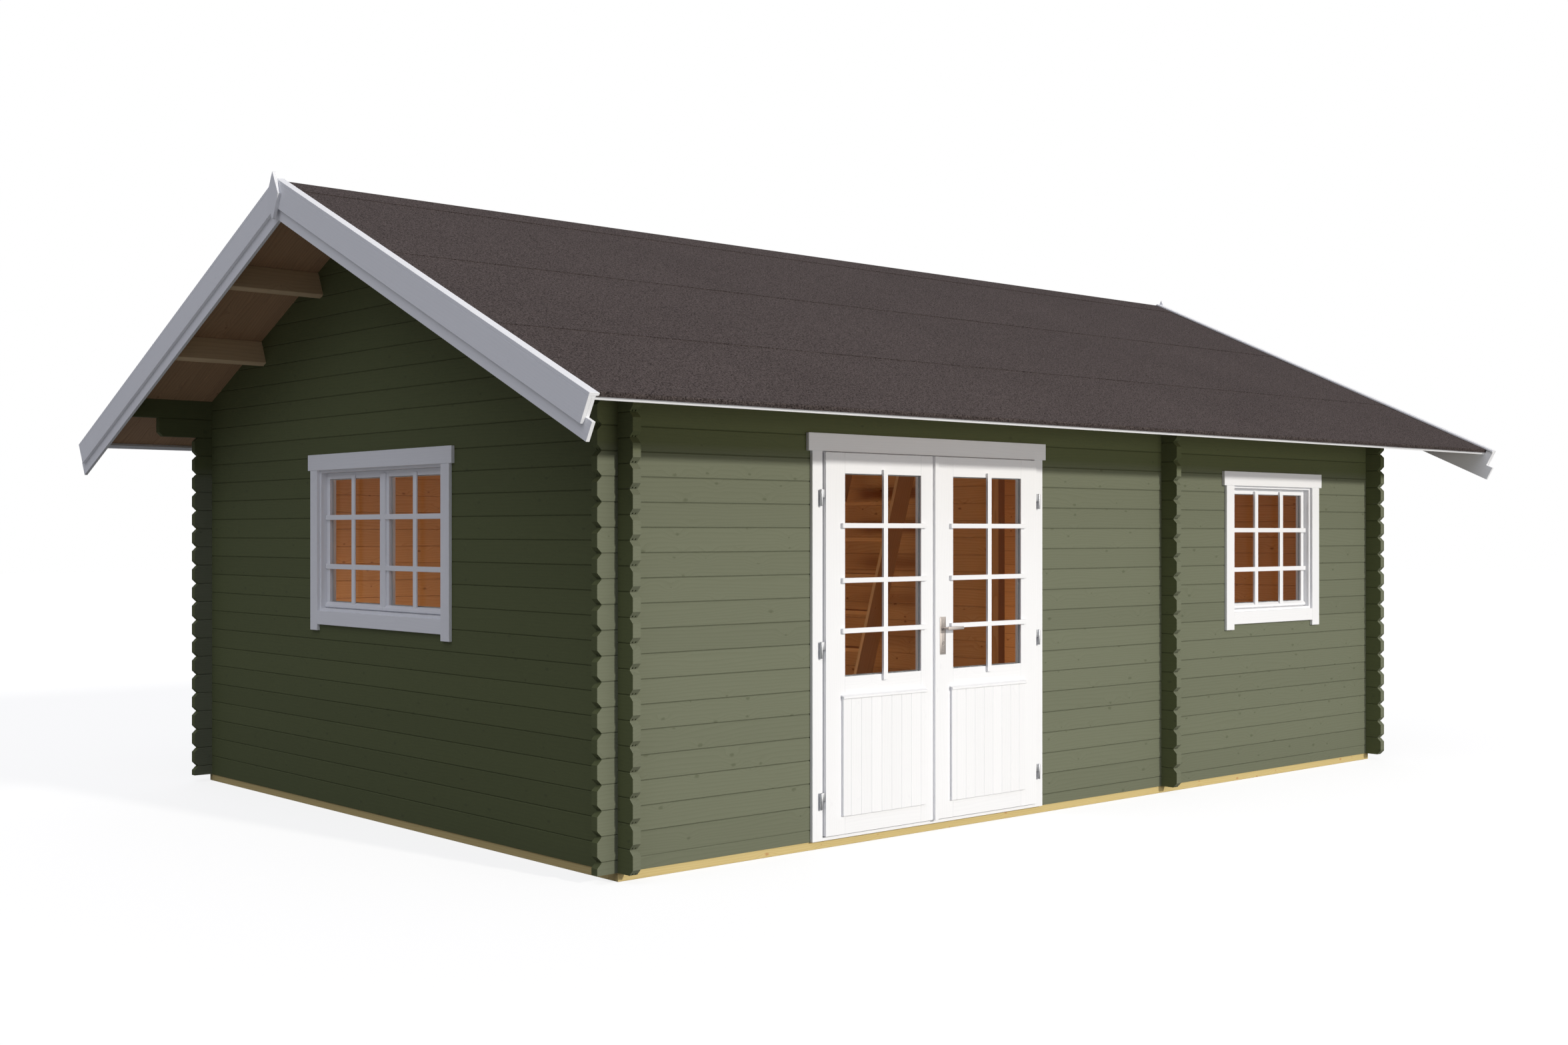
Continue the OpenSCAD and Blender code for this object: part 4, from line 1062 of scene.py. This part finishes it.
class CABIN_OT_door_surround(bpy.types.Operator):
    """Makes the door frame and its casing boards"""

    bl_idname = "cabin.door_surround"
    bl_label = "Door surround"

    def execute(self, context):
        low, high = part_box("door_casing")
        middle = context.scene.cabin_joinery.door_x
        header_h, header_out, casing_w, casing_t = (v * MM for v in (89, 26, 68, 18))
        sill_h, sill_back, stop, jamb, rebate = (v * MM for v in (16.5, 26.5, 15, 46, 11))
        foot = high.z - header_h
        face = high.y - casing_t
        tip = high.x - header_out
        inner = tip - casing_w
        casing = Timber()
        for a, b in ((2 * middle - tip, 2 * middle - inner), (inner, tip)):
            casing.box(a, b, face, high.y, low.z, foot)
        casing.box(2 * middle - inner, inner, face, high.y, low.z, low.z + sill_h)
        casing.box(low.x, high.x, low.y, high.y, foot, high.z)
        casing.piece("door_casing_boards", white_paint(), "cabin", "trim_white", "door_casing")
        low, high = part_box("door_frame")
        front, back = low.y, high.y
        step = front + rebate
        sill = low.z + sill_h
        half = inner - middle
        wood = Timber()
        for s in (-1, 1):
            edge, deep, rim = (middle + s * v for v in (half, half - stop, half + jamb))
            outline = [
                (edge, front), (rim, front), (rim, back), (deep, back), (deep, step), (edge, step),
            ]
            wood.prism(outline, sill, foot, "z")
        head_outline = [
            (front, foot), (step, foot), (step, foot - stop), (back, foot - stop), (back, high.z),
            (front, high.z),
        ]
        sill_outline = [
            (front, low.z), (back, low.z), (back, low.z + sill_back), (step, low.z + sill_back), (step, sill),
            (front, sill),
        ]
        for outline in (head_outline, sill_outline):
            wood.prism(outline, low.x, high.x, "x")
        wood.piece("door_frame_timbers", white_paint(), "cabin", "trim_white", "door_frame")
        return {"FINISHED"}


class CABIN_OT_door_leaves(bpy.types.Operator):
    """Makes the two door leaves: stiles, rails, boarded panels, bars and beads"""

    bl_idname = "cabin.door_leaves"
    bl_label = "Door leaves"

    def execute(self, context):
        for side, hand in ((-1, "left"), (1, "right")):
            self.leaf(context.scene.cabin_joinery, side, hand)
        return {"FINISHED"}

    def leaf(self, sizes, side, hand):
        """One leaf, measured outwards from the middle of the door."""
        leaf_t, lock_rail, core_front, core_back = (v * MM for v in (42, 100, 2, 6))
        panel_t, panel_lap, panel_h, edge_board, drip_lap = (v * MM for v in (14, 24, 590, 53.5, 4))
        bar_low, bar_high, rail_lap, cover_w, cover_t = (v * MM for v in (29.5, 23.5, 29, 27, 15))
        whole_boards = 7
        rails = [v * MM for v in (1593, 1321, 1071)]
        low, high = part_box(hand + "_leaf")
        glass_low, glass_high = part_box(hand + "_leaf_glass")
        middle = sizes.door_x
        back = high.y
        face = back - leaf_t
        inner, outer = sorted(abs(v - middle) for v in (low.x, high.x))
        light0, light1 = sorted(abs(v - middle) for v in (glass_low.x, glass_high.x))
        light_z0, light_z1 = glass_low.z, glass_high.z
        panel_z1 = light_z0 - lock_rail
        panel_z0 = panel_z1 - panel_h
        panel0 = light0 - panel_lap
        panel1 = light1 + panel_lap
        wood = Timber()

        def box(u0, u1, y0, y1, z0, z1, edge=None):
            wood.box(middle + side * u0, middle + side * u1, y0, y1, z0, z1, edge)

        for u0, u1 in ((light1, outer), (inner, light0)):
            box(u0, u1, face, back, low.z, high.z)
        for z0, z1 in ((light_z1, high.z), (panel_z1, light_z0), (low.z, panel_z0)):
            box(light0, light1, face, back, z0, z1)
        box(light0, light1, face + core_front, back - core_back, panel_z0, panel_z1)
        # Boards of the lower panel, with narrower ones at its two edges
        first = panel1 - edge_board
        last = first - whole_boards * sizes.panel_pitch
        start = middle + side * (last + sizes.panel_pitch / 2)
        place = Matrix((
            (side, 0, 0, start), (0, 0, -side, face - panel_t / 2), (0, 1, 0, panel_z0), (0, 0, 0, 1),
        ))
        wood.row(
            place, whole_boards, sizes.panel_pitch, play=0.4 * MM, run=panel_h, thickness=panel_t,
            edge=sizes.panel_edge
        )
        for u0, u1 in ((panel0, last), (first, panel1)):
            box(u0, u1, face - panel_t, face, panel_z0, panel_z1, sizes.panel_edge)
        # Moulding over the panel that throws off rain, drawn in millimetres from the panel's face and top
        drip = [(14, 10), (-8, 2), (-8, -9), (1, -11), (1, 0.5), (14, 0.5)]
        drip = [(face - panel_t + y * MM, panel_z1 + z * MM) for y, z in drip]
        ends = sorted(middle + side * u for u in (panel0 - drip_lap, panel1 + drip_lap))
        wood.prism(drip, *ends, "x")
        # Beads behind the glass, then the bars in front of it: an upright and three cross bars
        bead_y = glass_high.y + sizes.bead_play
        beads(box, sizes, light0, light1, bead_y, back - core_back, light_z0, light_z1)
        centre = (light0 + light1) / 2
        front = face - sizes.leaf_bar_out
        half = sizes.leaf_bar / 2
        box(centre - half, centre + half, front, face, light_z0 - bar_low, light_z1 + bar_high)
        half = sizes.leaf_rail / 2
        for z in rails:
            box(light0 - rail_lap, light1 + rail_lap, front - sizes.bar_lap, face, z - half, z + half)
        if hand == "left":
            box(inner, inner + cover_w, face - cover_t, face, low.z, high.z)
        wood.piece(hand + "_leaf_joinery", white_paint(), hand + "_door", "trim_white", hand + "_leaf")
        dress(hand + "_leaf_glass", float_glass())


class CABIN_OT_door_fittings(bpy.types.Operator):
    """Makes the hinges, the handle plates and the lever"""

    bl_idname = "cabin.door_fittings"
    bl_label = "Door fittings"

    def execute(self, context):
        zinc = worked_steel("zinc", "zinc_plated_steel", 0.45, (90.0, 90.0, 90.0))
        steel = worked_steel("steel", "brushed_stainless_steel", 0.5, (40.0, 900.0, 900.0))
        self.hinges(zinc)
        self.plates(steel)
        self.lever(steel)
        return {"FINISHED"}

    def hinges(self, zinc):
        """Turned knuckles with domed ends, on arms let into the leaf and the casing."""
        # In millimetres: a knuckle's radius, length and dome, the pin, and the play between two knuckles
        r, tall, dome, pin, play = 8, 40.7, 1.6, 3.4, 0.6
        radius, reach, arm, post_arm = r * MM, tall * MM, 2 * MM, 13 * MM
        sunk = radius * 0.9
        leaf_knuckle = (
            (r, 0), (r, tall - dome), (r - 0.5, tall - 0.5), (r - dome, tall), (r / 2, tall),
            (r / 2, tall + 0.2),
        )
        post_parts = (
            ((r - dome, 0), (r - 0.5, 0.5), (r, dome), (r, tall)),
            ((pin, tall), (pin, tall + 0.5)),
            ((3.5, 2 * tall + 0.9), (3.5, 2 * tall + 1.4), (2.4, 2 * tall + 2)),
        )
        pins = Timber(edge=0.6 * MM)
        for hand, side in (("left", -1), ("right", 1)):
            low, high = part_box(hand + "_leaf_hinges")
            x, leaf_edge = (low.x + radius, high.x) if side < 0 else (high.x - radius, low.x)
            y = low.y + radius
            leaf = Timber(edge=0.6 * MM)
            bm = merged(hand + "_leaf_hinges")
            levels = sorted(min(v.co.z for v in verts) for verts in islands(bm))
            bm.free()
            for z in levels:
                leaf.turned(leaf_knuckle, Vector((x, y, z)), Z_AXIS)
                ends = sorted((x - side * sunk, leaf_edge))
                leaf.box(*ends, y - arm, y + arm, z, z + reach)
                foot = z - play * MM - reach
                for part in post_parts:
                    pins.turned(part, Vector((x, y, foot)), Z_AXIS)
                pins.box(x - arm, x + arm, y + sunk, y + post_arm, foot, foot + reach)
            leaf.piece(hand + "_leaf_knuckles", zinc, hand + "_door", "fitting_steel", hand + "_leaf_hinges")
        pins.piece("hinge_posts", zinc, "cabin", "fitting_steel", "hinge_pins")

    def plates(self, steel):
        """Long plates on both faces of the right leaf, with a spindle hole, a cylinder and two screws."""
        low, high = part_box("lock_plates")
        lever_low, lever_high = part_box("lever_handle")
        x = (low.x + high.x) / 2
        spindle = (lever_low.z + lever_high.z) / 2
        bore, cylinder_out, thick, soft = (v * MM for v in (6.3, 6, 3, 0.9))
        key_z, key_side, screw_in = (v * MM for v in (979.5, 5.5, 14))
        key_x = x + key_side
        # Profiles in millimetres
        collar = ((6.5, 0), (10.5, 0), (10.5, 3), (9.7, 4), (6.5, 4), (6.5, 0.01))
        screw = ((3.6, 0), (3.6, 0.5), (2.6, 1.3))
        cylinder = ((8.4, 0), (8.4, 1.8), (7.8, 2.4))
        # A thin disc behind the cylinder whose rim shows as a dark ring: painted shade of the gap round the
        # cylinder
        shade_ring = ((9.6, 0), (9.6, 0.4))
        key_hole = ((2, 0), (2, 0.4))
        metal = Timber(edge=soft)
        # Near-black pieces standing for the shade in the keyway and in the gap round the cylinder: painted
        # shade
        dark = Timber(edge=0.2 * MM)
        outside, inside = low.y + cylinder_out, high.y - cylinder_out
        for out, plate in ((-1, (outside - thick, outside)), (1, (inside, inside + thick))):
            metal.absorb(self.plate(low, high, x, spindle, bore, plate, soft), Z_AXIS)
            face = plate[0] if out < 0 else plate[1]
            away = out * Y_AXIS
            metal.turned(collar, Vector((x, face, spindle)), away)
            for z in (low.z + screw_in, high.z - screw_in):
                metal.turned(screw, Vector((x, face, z)), away, 16)
            # Round cylinder with a narrow tail, standing a little out of the plate, and its key slot, a
            # near-black piece on the cylinder's face as painted shade of the keyway
            centre = Vector((key_x, face, key_z))
            metal.turned(cylinder, centre, away)
            dark.turned(shade_ring, centre, away)
            for part, half, start, end, foot, top in (
                (metal, 4.8, 0, 2.2, -17, -5), (dark, 0.9, 2.2, 2.7, -4.5, 4),
            ):
                ys = sorted((face + out * start * MM, face + out * end * MM))
                part.box(key_x - half * MM, key_x + half * MM, *ys, key_z + foot * MM, key_z + top * MM)
            dark.turned(key_hole, Vector((key_x, face + out * 2.3 * MM, key_z + 3 * MM)), away, 16)
        metal.piece("handle_plates", steel, "right_door", "fitting_steel", "lock_plates")
        dark.piece("key_slots", keyhole_shade(), "right_door", "fitting_steel")

    def plate(self, low, high, x, spindle, bore, levels, soft):
        """A squared plate with a round hole, drawn as rays from the hole that also meet the four corners."""
        half = (high.x - low.x) / 2
        up, down = high.z - spindle, spindle - low.z
        corners = [math.atan2(z, sign * half) for z in (up, -down) for sign in (-1, 1)]
        steps = 28
        angles = sorted(corners + [2 * math.pi * (i + 0.5) / steps - math.pi for i in range(steps)])
        bm = bmesh.new()
        rims = []
        for y in levels:
            rim = []
            hole = []
            for turn in angles:
                c, s = math.cos(turn), math.sin(turn)
                reach = min(half / abs(c), (up if s > 0 else down) / abs(s))
                rim.append(bm.verts.new((x + c * reach, y, spindle + s * reach)))
                hole.append(bm.verts.new((x + bore * c, y, spindle + bore * s)))
            rims.append((rim, hole))
        (front_rim, front_hole), (back_rim, back_hole) = rims
        for pair in (rims[0], rims[1], (front_rim, back_rim), (front_hole, back_hole)):
            band(bm, *pair)
        bmesh.ops.recalc_face_normals(bm, faces=bm.faces)
        eased(bm, soft)
        return bm

    def lever(self, steel):
        """Lever on both faces: a neck and a flat bar with soft edges and a round tip."""
        low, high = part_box("lever_handle")
        plate_low, plate_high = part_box("lock_plates")
        z = (low.z + high.z) / 2
        x = (plate_low.x + plate_high.x) / 2
        half = (high.z - low.z) / 2
        bar_t, soft, pin = 9 * MM, 2.4 * MM, 5.9
        neck = ((8.6, 0), (7.2, 6), (6.1, 12), (pin, 28))
        round_tip = 0.84 * half
        steps = 10
        turns = [math.pi * i / steps - math.pi / 2 for i in range(steps + 1)]
        tip = high.x - round_tip
        outline = [(x - half, z + half), (x - half, z - half)]
        outline += [(tip + round_tip * math.cos(a), z + round_tip * math.sin(a)) for a in turns]
        metal = Timber()
        spindle = ((pin, (low.y + bar_t / 2) / MM), (pin, (high.y - bar_t / 2) / MM))
        metal.turned(spindle, Vector((x, 0, z)), Y_AXIS)
        for y0, y1, inner, away in (
            (low.y, low.y + bar_t, low.y + bar_t, Y_AXIS), (high.y - bar_t, high.y, high.y - bar_t, -Y_AXIS),
        ):
            bm = swept(outline, y0, y1, "y")
            eased(bm, soft, 4, 40)
            metal.absorb(bm, X_AXIS, smooth=True)
            metal.turned(neck, Vector((x, inner, z)), away)
        metal.piece("door_lever", steel, "lever", "fitting_steel", "lever_handle")


class CABIN_OT_windows(bpy.types.Operator):
    """Makes the two windows: casings, frames, sashes, bars, beads and glass"""

    bl_idname = "cabin.windows"
    bl_label = "Windows"

    def execute(self, context):
        sizes = context.scene.cabin_joinery
        # Header past the clear width, sash within it, outer and meeting stiles, half the gap between sashes
        past, inset, stile, meeting, gap = (v * MM for v in (109, 15.5, 35, 50, 0.3))
        low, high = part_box("gable_window_casing")
        half = (high.y - low.y) / 2 - past
        place = Matrix.Translation((-WALL["half_l"], 0, 0)) @ Matrix.Rotation(-math.pi / 2, 4, "Z")
        sashes = ((inset - half, -gap, stile, meeting), (gap, half - inset, meeting, stile))
        self.window(
            sizes, "gable_window", "gable_window_sashes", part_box("gable_window_frame"), place, half, sashes,
            335, (1643, 1367), 27
        )
        low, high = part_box("front_window_casing")
        half = (high.x - low.x) / 2 - past
        place = Matrix.Translation(((low.x + high.x) / 2, -WALL["half_w"], 0))
        sashes = ((inset - half, half - inset, stile, stile),)
        self.window(
            sizes, "front_window", "front_window_sash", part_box("front_window_frame"), place, half, sashes,
            142.5, (1573, 1324), 21
        )
        return {"FINISHED"}

    def window(self, sizes, name, sash_node, corners, place, half, sashes, upright, rails, bar_set):
        """One window, drawn with the wall face on the XZ plane and the outside towards -Y.

        The frame is given by its corners, and a sash by its two ends and its two stiles. The bars are in
        millimetres: the uprights' distance from the middle, the heights of the cross bars, and how far behind
        the wall face they start.
        """
        z0, z1 = (corner.z for corner in corners)
        casing_w, casing_t, casing_foot, sill_low, sill_high = (v * MM for v in (83, 18, 62, 28, 49))
        header_h, header_t, header_out, header_low = (v * MM for v in (89, 20, 26, 71))
        head = z1 - header_low
        tip = half + casing_w
        casing = Timber(place)
        for a, b in ((-tip, -half), (half, tip)):
            casing.box(a, b, -casing_t, 0, z0 - casing_foot, head)
        casing.box(-half, half, -casing_t, 0, z0 - sill_low, z0 + sill_high)
        casing.box(-tip - header_out, tip + header_out, -header_t, 0, head, head + header_h)
        casing.piece(name + "_boards", white_paint(), "cabin", "trim_white", name + "_casing")
        jamb_out, jamb_in, deep, foot_t, head_t = (v * MM for v in (46, 15, 80, 64, 86))
        rough = half + jamb_out
        inner = half - jamb_in
        low = z0 + foot_t
        top = z1 - head_t
        wood = Timber(place)
        for a, b in ((-rough, -inner), (inner, rough)):
            wood.box(a, b, 0, deep, z0, z1)
        for a, b in ((z0, low), (top, z1)):
            wood.box(-inner, inner, 0, deep, a, b)
        wood.piece(name + "_jambs", white_paint(), "cabin", "trim_white", name + "_frame")
        face, back, rail, glass_back, bead_in = (v * MM for v in (36, 76, 35, 19, 8))
        bar_low, bar_high, bar_in, drip_in = (v * MM for v in (22, 16, 2, 1))
        post, post_out, play = (v * MM for v in (23, 1, 0.5))
        foot = low + play
        crown = top - play
        bar_y = bar_set * MM
        bars = foot + bar_low, crown - bar_high
        # Weather rail at the foot of a sash, in millimetres
        drip = [(0, 34), (-13, 20), (-13, 7), (-5, 3), (0, 3)]
        drip = [(face + y * MM, foot + z * MM) for y, z in drip]
        sash = Timber(place)
        for x0, x1, w0, w1 in sashes:
            a = x0 + w0
            b = x1 - w1
            for s0, s1 in ((x0, a), (b, x1)):
                sash.box(s0, s1, face, back, foot, crown)
            for s0, s1 in ((foot, foot + rail), (crown - rail, crown)):
                sash.box(a, b, face, back, s0, s1)
            bead_y = face + glass_back + sizes.bead_play
            beads(sash.box, sizes, a, b, bead_y, back - bead_in, foot + rail, crown - rail)
            sash.prism(drip, x0 + drip_in, x1 - drip_in, "x")
            ends = [x0 + bar_in, x1 - bar_in]
            if len(sashes) > 1:
                ends[x0 < 0] = -post if x0 < 0 else post
            tall = sizes.window_rail / 2
            for z in rails:
                sash.box(*ends, bar_y - sizes.bar_lap, face, z * MM - tall, z * MM + tall)
            wide = sizes.window_bar / 2
            for x in (-upright * MM, upright * MM):
                if x0 < x < x1:
                    sash.box(x - wide, x + wide, bar_y, face, *bars)
        if len(sashes) > 1:
            sash.box(-post, post, bar_y - post_out, face, *bars)
        sash.piece(name + "_lights", white_paint(), "cabin", "trim_white", sash_node)
        dress(name + "_glass", float_glass())


class CABIN_OT_stage(bpy.types.Operator):
    """Sets the floor, the light and the camera"""

    bl_idname = "cabin.stage"
    bl_label = "Stage"

    def execute(self, context):
        stage = context.scene.cabin_stage
        context.scene.view_settings.view_transform = "Standard"
        self.floor(context, stage)
        self.world(context, stage)
        self.lamps(context, stage)
        data = bpy.data.cameras.new("camera")
        data.lens = stage.lens
        data.sensor_width = 36
        data.shift_y = stage.shift
        data.clip_end = 200
        camera = bpy.data.objects.new("camera", data)
        camera.location = stage.camera
        camera.rotation_euler = Vector(stage.aim).to_track_quat("-Z", "Y").to_euler()
        context.scene.collection.objects.link(camera)
        context.scene.camera = camera
        return {"FINISHED"}

    def seen(self, node):
        """1 for rays that show the background: from the camera, straight or through glass."""
        path = node("ShaderNodeLightPath")
        glass = path["Is Transmission Ray"], path["Diffuse Depth"]
        through = node(MATH, glass, "SUBTRACT", use_clamp=True)[0]
        return node(MATH, (path["Is Camera Ray"], through), "MAXIMUM")[0]

    def floor(self, context, stage):
        """A plain pale floor that the camera sees as white where nothing shades it."""
        mesh = bpy.data.meshes.new("floor")
        reach = 60.0
        depth = -0.5 * MM
        corners = [(x * reach, y * reach, depth) for x, y in ((-1, -1), (1, -1), (1, 1), (-1, 1))]
        mesh.from_pydata(corners, [], [(0, 1, 2, 3)])
        material, node = new_material("pale_studio_floor")
        glow = node(MATH, (self.seen(node), stage.floor_glow), "MULTIPLY")[0]
        coat(node, {
            "Base Color": stage.floor, "Roughness": 1.0, "Specular IOR Level": 0.0, "Emission Color": WHITE,
            "Emission Strength": glow,
        })
        mesh.materials.append(material)
        floor = bpy.data.objects.new("floor", mesh)
        context.scene.collection.objects.link(floor)

    def world(self, context, stage):
        """Even light from all round, with a white background behind it."""
        world = bpy.data.worlds.new("studio")
        world.use_nodes = True
        world.node_tree.nodes.clear()
        node = partial(add, world.node_tree)
        lit = node("ShaderNodeBackground", {"Color": stage.fill_colour, "Strength": stage.fill})[0]
        shown = node("ShaderNodeBackground", {"Color": WHITE, "Strength": 1.0})[0]
        mixed = node("ShaderNodeMixShader", (self.seen(node), lit, shown))[0]
        node("ShaderNodeOutputWorld", {"Surface": mixed})
        context.scene.world = world

    def lamps(self, context, stage):
        """The key light from the front, low and a little to the right, wide lights from the sky and behind, a
        soft panel in front, and in each room a lamp for the wood and one for the paint of the reveals."""
        receivers = {kind: bpy.data.collections.new(kind + "_surfaces") for kind in ("room", "paint")}
        for surface in context.scene.objects:
            made_of = surface.active_material.name if surface.active_material else ""
            if made_of.startswith(("stained", "planed")):
                receivers["room"].objects.link(surface)
            elif made_of.startswith("white"):
                receivers["paint"].objects.link(surface)
        wide = {"angle": stage.sky_size}
        bulb = {"shadow_soft_size": 0.35}
        panel = {"shape": "RECTANGLE", "size": 7.0, "size_y": 2.4}
        low_panel = {"shape": "RECTANGLE", "size": 3.4, "size_y": 0.8}
        key, fill, room = stage.key_colour, stage.fill_colour, stage.room_colour
        lamps = (
            ("key", "SUN", stage.key, key, stage.key_from, stage.key_from, {"angle": stage.key_size}),
            ("sky", "SUN", stage.sky, fill, stage.sky_from, stage.sky_from, wide),
            ("back", "SUN", stage.back, fill, stage.back_from, stage.back_from, wide),
            ("soft", "AREA", stage.soft, key, (0.5, -10.0, 1.4), -Y_AXIS, panel),
            ("main_room", "AREA", stage.room, room, (-3.05, 0.2, 0.5), -X_AXIS, low_panel),
            ("small_room", "POINT", stage.small_room, room, (2.0, 0.2, 0.5), Z_AXIS, bulb),
            ("main_paint", "POINT", stage.reveal, fill, (-1.9, -1.0, 1.3), Z_AXIS, bulb),
            ("small_paint", "POINT", stage.reveal, fill, (1.8, -0.9, 1.4), Z_AXIS, bulb),
        )
        for name, kind, power, tint, spot, back, settings in lamps:
            light = bpy.data.lights.new(name, kind)
            light.energy = power
            light.color = tint[:3]
            for setting, value in settings.items():
                setattr(light, setting, value)
            lamp = bpy.data.objects.new(name, light)
            lamp.location = spot
            lamp.rotation_euler = Vector(back).to_track_quat("Z", "Y").to_euler()
            lamp.visible_camera = False
            lamp.visible_transmission = False
            lit = name.split("_")[-1]
            if lit in receivers:
                lamp.visible_glossy = False
                lamp.light_linking.receiver_collection = receivers[lit]
            context.scene.collection.objects.link(lamp)


OPERATORS = (
    CABIN_OT_logs, CABIN_OT_foundation, CABIN_OT_inside, CABIN_OT_roof, CABIN_OT_roof_trim,
    CABIN_OT_door_surround, CABIN_OT_door_leaves, CABIN_OT_door_fittings, CABIN_OT_windows, CABIN_OT_stage,
)
GROUPS = {
    "cabin_finish": CabinFinish, "cabin_joinery": CabinJoinery, "cabin_roof": CabinRoof,
    "cabin_stage": CabinStage,
}


class CABIN_PT_panel(bpy.types.Panel):
    """Lists the cabin's settings and operators"""

    bl_idname = "CABIN_PT_panel"
    bl_label = "Log cabin"
    bl_space_type = "VIEW_3D"
    bl_region_type = "UI"
    bl_category = "Log cabin"

    def draw(self, context):
        for name, group in GROUPS.items():
            box = self.layout.box()
            for key in group.__annotations__:
                box.prop(getattr(context.scene, name), key)
        for operator in OPERATORS:
            self.layout.operator(operator.bl_idname)


def register():
    for group in GROUPS.values():
        bpy.utils.register_class(group)
    for name, group in GROUPS.items():
        setattr(bpy.types.Scene, name, PointerProperty(type=group))
    for operator in OPERATORS:
        bpy.utils.register_class(operator)
    bpy.utils.register_class(CABIN_PT_panel)


def unregister():
    bpy.utils.unregister_class(CABIN_PT_panel)
    for operator in reversed(OPERATORS):
        bpy.utils.unregister_class(operator)
    for name, group in reversed(GROUPS.items()):
        delattr(bpy.types.Scene, name)
        bpy.utils.unregister_class(group)


def main():
    register()
    bpy.ops.cabin.logs()
    bpy.ops.cabin.foundation()
    bpy.ops.cabin.inside()
    bpy.ops.cabin.roof()
    bpy.ops.cabin.roof_trim()
    bpy.ops.cabin.door_surround()
    bpy.ops.cabin.door_leaves()
    bpy.ops.cabin.door_fittings()
    bpy.ops.cabin.windows()
    bpy.ops.cabin.stage()


if __name__ == "__main__":
    main()
